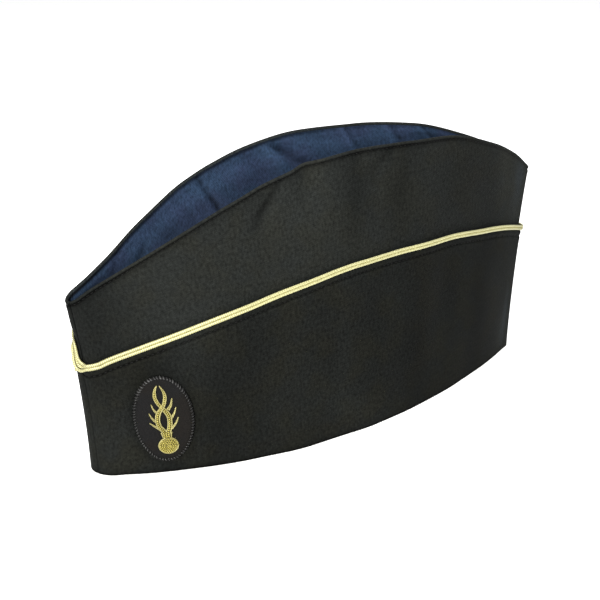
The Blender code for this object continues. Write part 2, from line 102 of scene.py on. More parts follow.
# Painted shade (below 0) and painted light on the walls, in creases and soft bands: side, share
# along, share up, angle, half length and half width in millimetres, tone
wallPaintedShading = (
    (1, 0.314, 0.938, 52, 10, 1.4, -0.72), (1, 0.297, 0.895, 54, 9, 2.4, -0.25),
    (1, 0.33, 0.925, 56, 12, 3.5, 0.12), (1, 0.01, 0.82, 88, 50, 16, -0.42),
    (1, 0.39, 0.9, 75, 30, 14, 0.22), (1, 0.43, 0.88, 78, 26, 5, 0.08),
    (1, 0.493, 0.86, 84, 30, 6, -0.26), (1, 0.555, 0.957, 38, 7, 1.8, -0.38),
    (1, 0.515, 0.965, 60, 6, 4, 0.2), (1, 0.588, 0.93, 85, 12, 4, 0.18),
    (1, 0.6, 0.86, 92, 30, 11, -0.34), (1, 0.555, 0.86, 88, 18, 3, 0.12),
    (1, 0.78, 0.84, 92, 30, 15, -0.16), (1, 0.915, 0.9, 96, 26, 7, 0.34),
    (1, 0.975, 0.9, 92, 35, 6.5, 0.4), (1, 0.26, 0.9, 60, 18, 12, 0.12),
    (1, 0.083, 0.56, 80, 12, 12, -0.16), (1, 0, 0.25, 88, 40, 16, 0.26),
    (1, 0.15, 0.56, 80, 16, 12, 0.2), (1, 0.35, 0.38, 86, 26, 11, 0.14),
    (1, 0.48, 0.08, 60, 10, 26, 0.3), (1, 0.06, 0.06, 20, 22, 7, 0.14),
    (1, 0.19, 0.23, 78, 28, 11, -0.34), (1, 0.255, 0.25, 84, 30, 8, -0.12),
    (1, 0.45, 0.36, 88, 38, 5, 0.14), (1, 0.53, 0.4, 86, 34, 5, -0.1),
    (1, 0.64, 0.25, 88, 45, 12, -0.3), (1, 0.74, 0.33, 90, 50, 16, -0.18),
    (1, 0.85, 0.35, 90, 50, 14, -0.32), (1, 0.962, 0.1, 88, 20, 8.5, 0.45),
    (1, 0.978, 0.27, 88, 24, 4.5, 0.45), (1, 0.975, 0.93, 92, 18, 8, 0.3),
    (-1, 0.3, 0.9, 75, 14, 2.2, -0.45), (-1, 0.47, 0.85, 95, 24, 7, 0.14),
    (-1, 0.56, 0.4, 84, 30, 7, -0.16), (-1, 0.25, 0.35, 98, 26, 7, 0.1),
)


def tableValue(table, columnIndex, x):
    # monotone cubic through the table's rows, so that no row is overshot
    xs, ys = table[:, 0], table[:, columnIndex]
    slopes = np.diff(ys) / np.diff(xs)
    tangents = np.zeros_like(ys)
    same = slopes[:-1] * slopes[1:] > 0
    top = np.where(same, slopes[:-1] * slopes[1:], 1.0)
    total = np.where(same, slopes[:-1] + slopes[1:], 1.0)
    tangents[1:-1] = np.where(same, 2 * top / total, 0.0)
    tangents[0], tangents[-1] = slopes[0], slopes[-1]
    x = np.clip(x, xs[0], xs[-1])
    i = np.clip(np.searchsorted(xs, x, side="right") - 1, 0, len(xs) - 2)
    width = xs[i + 1] - xs[i]
    t = (x - xs[i]) / width
    return (
        ys[i] * (1 + 2 * t) * (1 - t) ** 2
        + tangents[i] * width * t * (1 - t) ** 2
        + ys[i + 1] * t * t * (3 - 2 * t)
        + tangents[i + 1] * width * t * t * (t - 1)
    )


# A place round the cap is a turn: 0 is the middle of the front, 1 the end of the
# rounded nose, 2 the start of the back fold, 3 its end, and below 0 the wearer's right.
def planAt(turn, length, width, nose, columnIndex):
    size = np.abs(turn)
    back = cap["backRadius"]
    front = np.clip(size, 0, 1) * math.pi / 2
    rear = np.clip(size - 2, 0, 1) * math.pi / 2
    middle = np.clip(size - 1, 0, 1) * (length - nose - back)
    distance = nose * (1 - np.cos(front)) + middle + back * np.sin(rear)
    along = distance / length
    endRadius = nose + (back - nose) * along
    out = tableValue(cap["stations"], columnIndex, along)
    half = endRadius + out * (width / 2 - endRadius)
    return distance, half * np.sin(front) * np.cos(rear), along


def basePlan(turn):
    return planAt(turn, cap["baseLength"], cap["baseWidth"], cap["noseRadius"], 1)


def crestPlan(turn):
    length = cap["baseLength"] + cap["frontLean"] + cap["backLean"]
    return planAt(turn, length, cap["crestWidth"], cap["crestNoseRadius"], 2)


def crestHeightAt(turn):
    return cap["crestHeight"] * tableValue(cap["stations"], 3, crestPlan(turn)[2])


def plainWall(turn, share):
    baseY, baseX, _ = basePlan(turn)
    crestY, crestX, _ = crestPlan(turn)
    height = crestHeightAt(turn)
    z = share * height
    hem = cap["hemHeight"]
    lift = np.clip((z - hem) / (height - hem), 0, None)
    ends = np.clip(np.abs(turn), 0, 1) * np.clip(3 - np.abs(turn), 0, 1)
    x = baseX + (crestX - baseX) * lift + cap["sideSwell"] * 4 * lift * (1 - lift) * ends
    y = baseY + (crestY - cap["frontLean"] - baseY) * lift ** cap["leanPower"]
    middle = (cap["baseLength"] + cap["backLean"] - cap["frontLean"]) / 2
    return np.stack([np.sign(turn) * x, y - middle, z], -1)


def wallNormal(turn, share):
    step = 1e-4
    run = plainWall(turn + step, share) - plainWall(turn - step, share)
    normal = np.stack([run[..., 1], -run[..., 0], np.zeros_like(run[..., 0])], -1)
    return unit(normal)


def bell(x, at, wide):
    return np.exp(-(((x - at) / wide) ** 2))


def eased(x):
    x = np.clip(x, 0, 1)
    return x * x * (3 - 2 * x)


def onCloth(turn, share):
    # metres along the side from the end of the nose, and metres up
    return np.clip(np.abs(turn) - 1, 0, 1) * cap["baseLength"], share * crestHeightAt(turn)


def foldsAt(rows, turn, share):
    # the sum of all folds at a place, each a soft oval on its line
    turn, share = np.broadcast_arrays(turn, share)
    s, h = onCloth(turn, share)
    total = np.zeros_like(s)
    for side, at, up, angle, halfLength, halfWidth, amount in rows:
        ds = (s - at * cap["baseLength"]) * 1000
        dh = (h - up * crestHeightAt(np.array([1.0 + at]))[0]) * 1000
        cosine, sine = math.cos(math.radians(angle)), math.sin(math.radians(angle))
        run, aside = ds * cosine + dh * sine, dh * cosine - ds * sine
        near = bell(run, 0, halfLength) * bell(aside, 0, halfWidth)
        total += np.where(turn * side > 0, amount * near, 0.0)
    return total


def dentDepth(turn, share):
    along = np.clip(np.abs(turn) - 1, 0, 1)
    depth = np.zeros_like(along)
    for side, at, up, spreadAlong, spreadUp, deep in cap["dents"]:
        near = bell(along, at, spreadAlong) * bell(share, up, spreadUp)
        depth += np.where(turn * side > 0, deep * near, 0.0)
    at, up, spreadTurn, spreadUp, deep = cap["frontDent"]
    near = bell(turn, at, spreadTurn) * bell(share, up, spreadUp)
    last, over = cap["frontDentEnd"]
    return depth + deep * near * np.clip((last - np.abs(turn)) / over, 0, 1)


def unevenness(s, h, seed):
    # crossing waves of many lengths, with fixed phases
    draw = np.random.default_rng(seed)
    count, shortest, longest, height = cap["waves"]
    total = np.zeros_like(s)
    for _ in range(count):
        angle = draw.uniform(-0.5, 0.5)
        length = draw.uniform(shortest, longest)
        phase = draw.uniform(0, 2 * math.pi)
        run = s * math.cos(angle) + h * math.sin(angle)
        total += length * np.sin(2 * math.pi * run / length + phase)
    return total * height


def foldHeight(turn, share):
    # small folds and a faint unevenness that both layers of cloth share
    s, h = onCloth(turn, share)
    along = s / cap["baseLength"]
    start, end = cap["waveEnds"]
    ends = np.clip(along / start, 0, 1) * np.clip((1 - along) / end, 0, 1)
    uneven = np.where(turn > 0, unevenness(s, h, 1), unevenness(s, h, 2))
    return foldsAt(cap["folds"], turn, share) / 1000 + ends * uneven


def wallAt(turn, share, outward):
    turn, share = np.broadcast_arrays(np.asarray(turn, float), np.asarray(share, float))
    shift = outward + dentDepth(turn, share) + foldHeight(turn, share)
    return plainWall(turn, share) + wallNormal(turn, share) * shift[..., None]


def seamTurn():
    return math.asin(cap["seamShift"] / cap["noseRadius"]) * 2 / math.pi


def noseArc():
    return cap["noseRadius"] * math.pi / 2


def edgeShare(turn):
    # the turn-up's edge, with one smooth step round the front
    along = basePlan(turn)[2]
    left = tableValue(cap["edge"], 1, along)
    right = tableValue(cap["edge"], 2, along)
    return left + (right - left) * tableValue(cap["step"], 1, turn)


def stops(*runs):
    # values from stop to stop, each run given as from, to and how many
    return np.concatenate([np.linspace(*run)[min(i, 1):] for i, run in enumerate(runs)])


# Meshes

def linked(name, data):
    obj = bpy.data.objects.new(name, data)
    bpy.context.scene.collection.objects.link(obj)
    return obj


def meshPiece(name, strips, material):
    # each strip is (points [columns, ring, 3], map [columns, ring + 1, 2], path closed), and
    # where it is toned a fourth array: its painted light and shade, and the seam's dark line, point
    # by point
    points, faces, maps, folds, start = [], [], [], [], 0
    for grid, flat, closed, *tone in strips:
        folds += [values.ravel() for values in tone]
        columns, ring = grid.shape[:2]
        c, r = np.meshgrid(np.arange(columns - 1 + closed), np.arange(ring), indexing="ij")
        c, r = c.reshape(-1, 1) + np.array([0, 1, 1, 0]), r.reshape(-1, 1) + np.array([0, 0, 1, 1])
        faces.append(start + c % columns * ring + r % ring)
        maps.append(flat[c, r].reshape(-1, 2))
        if not closed:  # ends closed by a row of quads across the ring
            i = np.arange(ring // 2 - 1)
            across = np.stack([i, i + 1, ring - 2 - i, ring - 1 - i], -1)
            for column in (0, columns - 1):
                faces.append(start + across + column * ring)
                maps.append(flat[column, across.ravel()])
        points.append(grid.reshape(-1, 3))
        start += columns * ring
    faces = np.concatenate(faces)
    mesh = bpy.data.meshes.new(name)
    mesh.vertices.add(start)
    mesh.vertices.foreach_set("co", np.concatenate(points).astype(np.float32).ravel())
    mesh.loops.add(faces.size)
    mesh.loops.foreach_set("vertex_index", faces.astype(np.int32).ravel())
    mesh.polygons.add(len(faces))
    mesh.polygons.foreach_set("loop_start", np.arange(0, faces.size, 4, dtype=np.int32))
    layer = mesh.uv_layers.new(name="clothMap")
    layer.data.foreach_set("uv", np.concatenate(maps).astype(np.float32).ravel())
    # painted light and shade, point by point
    if folds:
        paintedLightAndShade = mesh.attributes.new("paintedShadingTone", "FLOAT", "POINT")
        paintedLightAndShade.data.foreach_set("value", np.concatenate(folds).astype(np.float32))
    mesh.update(calc_edges=True)
    work = bmesh.new()
    work.from_mesh(mesh)
    bmesh.ops.recalc_face_normals(work, faces=work.faces)
    work.to_mesh(mesh)
    work.free()
    mesh.shade_smooth()
    mesh.materials.append(material)
    return linked(name, mesh)


def place(obj, slot, *nodes):
    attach(obj, "root")
    if nodes:
        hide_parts(*nodes)


def travelled(points):
    steps = np.linalg.norm(np.diff(points, axis=0), axis=1)
    return np.concatenate([[0], np.cumsum(steps)])


def resample(values, distance, wanted):
    return np.stack([np.interp(wanted, distance, values[:, k]) for k in range(values.shape[1])], -1)


def unit(vectors):
    return vectors / np.linalg.norm(vectors, axis=-1, keepdims=True)


def ringAngles(sides):
    return 2 * math.pi * (np.arange(sides)[None, :] + 0.5) / sides


def woundRadii(distance, pitch, depth, sides, lean=2):
    # how thick a cord is where its thread winds round it, as a share of its radius
    rounds = 2 * math.pi * distance[:, None] / pitch
    return 1 + depth * (np.cos(rounds - lean * ringAngles(sides)) - 1) / 2


def rounded(values):
    # a closed path with its first point again at the end
    return np.concatenate([values, values[:1]])


def tubeStrip(path, aside, upward, radii, sides, pathClosed=False):
    # a round cord along path; radii is [columns, sides] or [columns, 1]
    angles = ringAngles(sides)[..., None]
    ring = aside[:, None] * np.cos(angles) + upward[:, None] * np.sin(angles)
    grid = path[:, None] + ring * np.broadcast_to(radii, (len(path), sides))[..., None]
    run = travelled(rounded(path) if pathClosed else path)[:, None]
    around = (np.arange(sides + 1) / sides)[None, :] * 2 * math.pi * radii.mean()
    return grid, np.stack(np.broadcast_arrays(run, around), -1), int(pathClosed)


def aroundRing(grid):
    # how far round its ring each point lies, and the full round at the end
    ring = np.concatenate([grid, grid[:, :1]], 1)
    steps = np.linalg.norm(np.diff(ring, axis=1), axis=-1)
    return np.concatenate([np.zeros((len(grid), 1)), np.cumsum(steps, axis=1)], 1)


# Cloth walls: the crown's two sides and the turn-up's two sides

walls = {
    "cloth": 0.0012,
    "seamGap": 0.00012,
    "backOverlap": 0.00002,  # so that no light shows through the back fold
    "seamDip": 0.00045,
    "seamWidth": 0.0011,
    "seamFade": 0.006,
    "seamLine": 0.0005,
    "backRoll": 0.6,  # share of the seam's dip that the back fold has
    "noseSteps": (24, 36),  # left and right of the seam
    "crowding": 1.7,  # of these steps towards the seam, where the turn-up's edge steps
    "sideSteps": 210,
    "backSteps": 10,
    "edgeSteps": 6,
    "hemRows": (0, 0.003, 0.007, 0.013),
    # painted shade along the walls' bottom edge
    "hemPaintedShade": ((0.0000, 0.0016, -0.92),),
    # share along where the painted light and shade lines start to fade, where they stop, and what
    # is left of them
    "outerFade": (0.72, 0.84, 0.40),
    "innerFade": (0.42, 0.60, 0.35),
}

# Lines along a panel's top edge: distance below it, width, and height or tone; the tones are
# painted highlights on the rounded edges and raised bands and painted shade in the stitched grooves
crownPanel = {
    "outward": 0.0,  # how far the outer face lies outside the crown's
    "rows": 44,
    "edgeRows": (0.0008, 0.0065, 17),
    "relief": ((0.0000, 0.0009, 0.00016), (0.0019, 0.0005, -0.00042), (0.0036, 0.0013, 0.00012)),
    "inside": ((0.0004, 0.0008, 0.0003),),
    "outerPaintedShading": ((0.0002, 0.0006, 0.30), (0.0016, 0.0008, -0.78), (0.0032, 0.0014, -0.16)),
    "innerPaintedShading": ((0.0008, 0.00045, 2.40), (0.0020, 0.0007, -0.85)),
    "seamTone": -0.60,
}

turnupPanel = {
    "outward": 0.0015,
    "rows": 30,
    "edgeRows": (0.0010, 0.0125, 26),
    "relief": ((0.0052, 0.0011, 0.0003), (0.0070, 0.0006, -0.0005), (0.0088, 0.0014, 0.00012)),
    "inside": (),
    "outerPaintedShading": ((0.0070, 0.0006, -0.75), (0.0081, 0.0006, 0.15)),
    "innerPaintedShading": (),
    "seamTone": -0.35,
    # two crossing waves along the stitches: pitch, distance below the edge, spread, height
    "puckers": (0.0064, 0.0070, 0.0028, 0.0001),
}


def panelTurns(side):
    w = walls
    first = seamTurn() + side * w["seamGap"] / 2 / noseArc()
    crowd = np.linspace(0, 1, w["noseSteps"][0 if side > 0 else 1]) ** w["crowding"]
    rest = stops((1, 2, w["sideSteps"] + 1), (2, 3, w["backSteps"] + 1))[1:]
    return np.concatenate([first + (side - first) * crowd, side * rest])


def fromSeam(turns):
    return np.abs(turns - seamTurn()) * noseArc()


def seamDrop(turns, z):
    # both panels roll inwards where they meet, at the front and at the back, but for the hem
    w = walls
    fromBack = np.abs(3 - np.abs(turns)) * cap["backRadius"] * math.pi / 2
    front, back = (bell(away, 0, w["seamWidth"]) for away in (fromSeam(turns), fromBack))
    near = front + w["backRoll"] * back
    return -w["seamDip"] * near * (1 - bell(z, 0, w["seamFade"]))


def seamTone(turns, panel, share):
    # the front seam draws a dark line, and a painted shadow darkens the turn-up round the badge
    line = panel["seamTone"] * bell(fromSeam(turns), 0, walls["seamLine"])
    return line + (badgePaintedShadow(turns, share) if panel is turnupPanel else 0)


def faded(turns, limits):
    fadeFrom, fadeTo, least = limits
    return 1 - (1 - least) * np.clip((np.abs(turns) - 1 - fadeFrom) / (fadeTo - fadeFrom), 0, 1)


def linesAt(rows, below):
    return sum(amount * bell(below, at, wide) for at, wide, amount in rows)


def edgeRelief(panel, turns, below):
    relief = linesAt(panel["relief"], below)
    if "puckers" in panel:
        pitch, at, spread, high = panel["puckers"]
        around = 2 * math.pi * onCloth(turns, 0)[0] / pitch
        gather = np.sin(around) + 0.6 * np.sin(around / 1.7 + 1)
        relief = relief + gather * bell(below, at, spread) * high
    return relief


def clothPanel(name, side, top, panel, material):
    w, p = walls, panel
    turns = panelTurns(side)[:, None]
    height = crestHeightAt(turns)
    radius = w["cloth"] / 2
    topEdge = top(turns) * height
    fine = np.linspace(*p["edgeRows"])
    climb = np.concatenate([w["hemRows"], np.linspace(0, 1, p["rows"])[1:]])
    low = radius + (topEdge - fine[-1] - radius) * climb
    z = np.concatenate([low, topEdge - fine[-2::-1], topEdge - radius], axis=1)
    share = z / height
    relief = edgeRelief(p, turns, topEdge - z) + seamDrop(turns, z)
    outer = wallAt(turns, share, p["outward"] + relief)
    inner = wallAt(turns, share, p["outward"] - w["cloth"] - linesAt(p["inside"], topEdge - z))
    normal = wallNormal(*np.broadcast_arrays(turns, share))
    arc = math.pi * (np.arange(w["edgeSteps"]) + 1) / (w["edgeSteps"] + 1)
    up = np.array([0, 0, 1.0])

    def rolled(column, sign):
        middle = (outer[:, column] + inner[:, column]) / 2
        out = normal[:, column][:, None] * np.cos(arc)[None, :, None]
        thick = np.linalg.norm(outer[:, column] - inner[:, column], axis=-1)[:, None, None] / 2
        return middle[:, None] + thick * (out + sign * up * np.sin(arc)[None, :, None])

    crest, foot = rolled(-1, 1), rolled(0, -1)
    half = w["edgeSteps"] // 2
    footOut, footIn = foot[:, :half][:, ::-1], foot[:, half:][:, ::-1]
    grid = np.concatenate([footOut, outer, crest, inner[:, ::-1], footIn], 1)
    grid[-1, :, 0] = -side * w["backOverlap"]
    grid[..., 2] = np.maximum(grid[..., 2], 0)
    run = travelled(outer[:, 0])[:, None]
    flat = np.stack(np.broadcast_arrays(side * run, aroundRing(grid)), -1)
    share = grid[..., 2] / height
    below = np.maximum(topEdge - grid[..., 2], 0)
    outside = (np.arange(grid.shape[1]) < half + outer.shape[1] + 1)[None, :]
    # painted highlights and shade along the top edge, outside and inside
    outerLines = faded(turns, w["outerFade"]) * linesAt(p["outerPaintedShading"], below)
    innerLines = faded(turns, w["innerFade"]) * linesAt(p["innerPaintedShading"], below)
    tone = foldsAt(wallPaintedShading, turns, share) + np.where(outside, outerLines, innerLines)
    # painted shade at the hem, the seam's dark line, and painted shadow round the badge
    tone += linesAt(w["hemPaintedShade"], grid[..., 2]) + seamTone(turns, p, share)
    return meshPiece(name, [(grid, flat, 0, tone)], material)


def makeWalls(crownMaterial, turnupMaterial):
    for side, word in ((1, "Left"), (-1, "Right")):
        crown = clothPanel("crown" + word, side, np.ones_like, crownPanel, crownMaterial)
        place(crown, "black_twill", "crown_" + word.lower())
        band = clothPanel("turnup" + word, side, edgeShare, turnupPanel, turnupMaterial)
        place(band, "turnup_twill", "turnup_" + word.lower())


# The top piece, folded down between the two crests

topPiece = {
    "cloth": 0.0010,
    "ends": (0.62, 2.30),
    "belowCrest": 0.0013,
    "fromWall": 0.0014,
    "drop": 0.050,
    "fold": 1.3,
    "lengthSteps": 260,
    "acrossSteps": 110,
    "sewnEdge": 0.0015,
    "waves": 1.6,  # how much more uneven than the walls
    # metres along, and how far down the fold its painted shadow grows dark there
    "shadowFrom": np.array([
        (-0.060, 0.0045), (0.000, 0.0045), (0.014, 0.0055), (0.050, 0.0160),
        (0.130, 0.0163), (0.180, 0.0096), (0.225, 0.0035), (0.300, 0.0035),
    ]),
    "shadow": -0.30,
    "shadowStart": 0.6,  # share of the way down where it begins
    # a painted lighter band: share of the way down to the shadow, spread, tone
    "paintedBellyLight": ((0.38, 0.22, 0.15),),
    # painted shade at the front tip
    "tip": (-0.35, 0.030),  # tone at the front tip, and how far along it reaches
    # distance below the crest, width, height or tone; the tones are painted shade along the roll
    # and just under the crest
    "roll": ((0.0036, 0.0016, 0.0002),),
    "rollPaintedShade": ((0.0034, 0.0018, -0.12),),
    "edgePaintedShade": ((0.0005, 0.0011, -0.78),),
    # share along, share of the drop
    "depths": np.array([
        (0.00, 0.16), (0.10, 0.48), (0.25, 0.85), (0.40, 1.00),
        (0.60, 1.00), (0.80, 0.72), (0.95, 0.22), (1.00, 0.10),
    ]),
    # side, from (along, down), to (along, down), half width, height, all in millimetres, tone:
    # painted shade below 0, painted light above
    "creases": (
        (-1, (75.3, 2.4), (82.6, 23), 1, -1.2, -0.6), (-1, (72.5, 3), (79, 23), 2, 0.6, 0.1),
        (-1, (78.5, 3), (86, 23), 2, 0.4, 0.06), (-1, (60.8, 3.6), (69, 20), 1.2, -0.4, -0.16),
        (-1, (64.5, 4), (71, 19), 2.2, 0.3, 0.1), (-1, (39.2, 10.8), (35, 14), 1.8, -0.6, -0.3),
        (-1, (48, 9), (54, 17), 4, -0.4, -0.14), (-1, (23.6, 3), (20, 8), 1.4, -0.5, -0.28),
        (-1, (123, 7), (137, 17.2), 2.2, -1.6, -0.34),
        (-1, (118.2, 3.4), (129, 9.4), 1.2, -0.8, -0.28), (-1, (116.5, 5), (121, 13), 3, 1.2, 0.3),
        (-1, (130, 4), (143, 8), 2.6, 0.6, 0.08), (-1, (105, 7), (109, 11), 3, -0.5, -0.14),
        (-1, (154, 6), (160, 18), 4, 0.4, 0.1), (-1, (161, 0), (166, 12), 1.6, 1, 0.26),
        (-1, (164.6, 1.4), (170, 11), 1.2, -1, -0.3), (-1, (173, 1), (177, 11), 2.4, -0.3, -0.12),
        (-1, (188.8, 1), (191.8, 9), 2, 0.8, 0.26), (-1, (193, 1.2), (197, 8.5), 1.2, -0.9, -0.3),
        (-1, (208.4, 0.8), (212.5, 6), 1.4, 0.6, 0.22),
        (-1, (211.5, 0.6), (216.8, 5.5), 1, -0.7, -0.26), (1, (90, 2), (82, 26), 1.6, -1.1, -0.45),
        (1, (110, 3.5), (106, 10), 2, -0.8, -0.3), (1, (130, 1), (140, 24), 3, 1, 0.12),
        (1, (170, 1), (164, 20), 1.4, -1, -0.4), (1, (205, 1), (211, 16), 2.4, 0.8, 0.12),
    ),
}


def creasesAt(side, s, down):
    # the height of all creases, and their painted shade and light
    s, down = s * 1000, down * 1000
    height, paintedLightAndShade = np.zeros_like(s), np.zeros_like(s)
    for onSide, (s0, down0), (s1, down1), halfWidth, high, tone in topPiece["creases"]:
        length = math.hypot(s1 - s0, down1 - down0)
        ds, dd = (s1 - s0) / length, (down1 - down0) / length
        run = (s - s0) * ds + (down - down0) * dd
        aside = (down - down0) * ds - (s - s0) * dd
        past = np.maximum(np.maximum(-run, run - length), 0)
        near = bell(aside, 0, halfWidth) * bell(past, 0, halfWidth * 2) * (side == onSide)
        height += high / 1000 * near
        paintedLightAndShade += tone * near
    return height, paintedLightAndShade


def makeTopPiece(material):
    t = topPiece
    turns = np.linspace(*t["ends"], t["lengthSteps"])
    along = crestPlan(turns)[2]
    edge = 1 - t["belowCrest"] / crestHeightAt(turns)
    left = wallAt(turns, edge, -t["fromWall"])
    right = wallAt(-turns, edge, -t["fromWall"])
    drop = t["drop"] * tableValue(t["depths"], 1, along)
    across = np.sin(np.linspace(-1, 1, t["acrossSteps"]) * math.pi / 2)
    grid = right[:, None] + (left - right)[:, None] * ((across + 1) / 2)[None, :, None]
    grid[..., 2] -= drop[:, None] * (1 - np.abs(across) ** t["fold"])[None, :]
    width = aroundRing(grid)[:, :-1]
    down = np.minimum(width, width[:, -1:] - width)
    side = np.where(across < 0, -1, 1)[None, :]
    s = (turns - 1)[:, None] * cap["baseLength"] * np.ones_like(down)
    relief, tone = creasesAt(side, s, down)
    # painted shadow deep in the fold and a painted lighter band above it
    reach = down / tableValue(t["shadowFrom"], 1, s)
    tone += t["shadow"] * eased((reach - t["shadowStart"]) / (1 - t["shadowStart"]))
    tone += linesAt(t["paintedBellyLight"], reach)
    # painted shade at the front tip, along the roll and just under the crest
    tone += t["tip"][0] * np.clip(1 - s / t["tip"][1], 0, 1) + linesAt(t["rollPaintedShade"], down)
    tone += linesAt(t["edgePaintedShade"], down) * faded(turns[:, None], walls["innerFade"])
    relief += unevenness(s, down, 5) * t["waves"] + linesAt(t["roll"], down)
    relief *= np.clip(down / t["sewnEdge"], 0, 1)
    normal = unit(np.cross(np.gradient(grid, axis=0), np.gradient(grid, axis=1)))
    normal *= np.sign(normal[..., 2:3] + 1e-9)
    upper = grid + normal * relief[..., None]
    ring = np.concatenate([upper, (upper - normal * t["cloth"])[:, ::-1]], 1)
    flat = np.stack(np.broadcast_arrays(travelled(right)[:, None], aroundRing(ring)), -1)
    tone = np.concatenate([tone, tone[:, ::-1]], 1)
    top = meshPiece("topPiece", [(ring, flat, 0, tone)], material)
    place(top, "blue_twill", "crown_gusset")


# The braid: two round cords sewn side by side along the turn-up's edge

braidCords = {
    "width": 0.0036,
    "cordRadius": 0.00088,
    "flatten": 0.78,
    "overshoot": 0.0002,
    "lift": 0.0016,
    # how far the upper cord rolls over the edge round the front, up and in, and how much thicker
    "roll": (0.00035, 0.00090, 0.10),
    # between which turns it rolls, and over how many turns it starts and stops
    "rollFrom": (-0.80, 0.62, 0.12, 0.20),
    # how far the lower cord swells down and out, and its turn and reach
    "swell": (0.0016, 0.0002),
    "swellAt": (0.37, 0.11),
    "coreRadius": (0.00055, 0.00045),
    "coreLift": 0.25,
    # share along where the cords start to thin, where they stop, and their share of thickness there
    "thinning": (0.20, 0.55, 0.88),
    # turn where the two cords lie closest, how far that reaches, how much narrower they are, and
    # how far they sink into the edge
    "pinch": (-0.20, 0.30, 0.40, 0.0006),
    # the knot where the braid starts its climb: turn, below and out from its middle, radius, tone
    "knot": (0.345, 0.0039, 0.0003, 0.0010, -0.35),
    # turn, and the painted light (above 0) and painted shade (below 0) on the cords there
    "paintedLightAndShade": np.array([
        (-3.00, -0.10), (-0.20, -0.20), (1.05, -0.18), (1.12, -0.05), (1.20, -0.06), (1.34, 0.07),
        (1.55, 0.10), (1.68, 0.15), (1.80, 0.04), (1.92, 0.04), (1.99, -0.16), (3.00, -0.10),
    ]),
    "step": 0.00017,
    "sides": 10,
    "wrap": (0.00105, 0.055),  # pitch and depth of the turns round a cord
    "stitchPitch": 0.00125,
    "stitchRadius": 0.00022,
    "stitchLength": 0.00085,
    "stitchBow": (0.0, 0.8, 1.0, 0.8, 0.0),
    "stitchThick": (0.5, 0.9, 1.0, 0.9, 0.5),
    "stitchLean": 0.00016,
    "stitchLift": 0.95,
}


def braidFrames(step):
    b = braidCords
    turns = stops(
        (-3, -2, 40), (-2, -1, 400), (-1, 0, 100), (0, 0.5, 400), (0.5, 1, 60), (1, 2, 400),
        (2, 3, 40),
    )[:-1]
    share = edgeShare(turns)
    path = wallAt(turns, share, b["lift"])
    below = wallAt(turns, share - b["width"] / cap["crestHeight"], b["lift"])
    run = np.roll(path, -1, 0) - np.roll(path, 1, 0)
    out = unit(np.cross(run, path - below))
    up = unit(np.cross(out, run))
    middle = path - up * (b["width"] / 2 - b["overshoot"])
    distance = travelled(rounded(middle))
    wanted = np.arange(0, distance[-1], step)[:-1]
    middle, up, out = (resample(rounded(v), distance, wanted) for v in (middle, up, out))
    turns = np.interp(wanted, distance, np.concatenate([turns, [3.0]]))
    return middle, unit(up), unit(out), wanted, turns


def stitch(path, up, out, distance, at, away, over, thick, sides):
    # a short thread along a path, lifted away from it and leaned over it
    outward, upward = (unit(resample(values, distance, at)) for values in (out, up))
    line = resample(path, distance, at) + outward * away + upward * over
    return tubeStrip(line, upward, outward, thick, sides)


def makeBraid(material, threadMaterial):
    b = braidCords
    middle, up, out, distance, turns = braidFrames(b["step"])
    q = turns[:, None]
    rise, inward, thicker = b["roll"]
    down, outward = b["swell"]
    first, last, start, stop = b["rollFrom"]
    rolled = eased(np.clip((q - first) / start, 0, 1) * np.clip((last - q) / stop, 0, 1))
    swollen = bell(q, *b["swellAt"])
    pinchAt, pinchWide, pinchBy, sink = b["pinch"]
    pinched = bell(q, pinchAt, pinchWide)
    sunk = np.maximum(inward * rolled, sink * pinched)
    thin = faded(q, b["thinning"]) - pinchBy * pinched
    # painted light and shade along the braid
    tone = tableValue(b["paintedLightAndShade"], 1, q) * np.ones((1, b["sides"]))
    strips = []
    for row in (-1, 1):
        centre = middle + up * row * (b["width"] / 2 - b["cordRadius"]) * thin
        centre = centre + out * b["cordRadius"] * b["flatten"]
        if row > 0:
            centre = centre + up * rise * rolled - out * sunk
        else:
            centre = centre + (out * outward - up * down) * swollen - out * sink * pinched
        radii = b["cordRadius"] * woundRadii(distance, *b["wrap"], b["sides"], 2 * row)
        radii = radii * (1 + thicker * rolled) * thin
        strips.append((*tubeStrip(centre, up, out * b["flatten"], radii, b["sides"], True), tone))
    # a core under the groove, thicker where the lower cord swells away
    centre = middle + out * (b["cordRadius"] * b["coreLift"] + outward * swollen - sunk / 2)
    centre = centre + up * (rise * rolled - down * swollen) / 2
    radii = (b["coreRadius"][0] + b["coreRadius"][1] * swollen) * np.ones((1, b["sides"]))
    strips.append((*tubeStrip(centre, up, out, radii, b["sides"], True), tone))
    knotTurn, below, away, radius, knotTone = b["knot"]
    i = np.searchsorted(turns, knotTurn)
    across = np.linspace(-0.9, 0.9, 9)[:, None]
    path = middle[i] - up[i] * below + out[i] * away
    path = path + unit(middle[i + 1] - middle[i]) * across * radius
    frames = [np.broadcast_to(v[i], path.shape) for v in (up, out)]
    knot = tubeStrip(path, *frames, radius * np.sqrt(1 - across ** 2), b["sides"])
    strips.append((*knot, np.full(knot[0].shape[:2], knotTone)))
    place(meshPiece("braidCords", strips, material), "gold_braid", "braid")
    strips = []
    profiles = (b["stitchBow"], b["stitchThick"])
    bow, thick = (np.array(values)[:, None] * b["stitchRadius"] for values in profiles)
    lean = np.linspace(-1, 1, 5)[:, None] * b["stitchLean"]
    for i in range(int(distance[-1] / b["stitchPitch"])):
        at = np.linspace(-0.5, 0.5, 5) * b["stitchLength"] + (i + 0.5) * b["stitchPitch"]
        lower, higher = (resample(values, distance, at) / 2 for values in (sunk, rolled * rise))
        away = b["cordRadius"] * b["stitchLift"] + bow - lower
        strips.append(stitch(middle, up, out, distance, at, away, lean + higher, thick, 6))
    place(meshPiece("braidStitches", strips, threadMaterial), "gold_braid")


# Rows of machine stitches

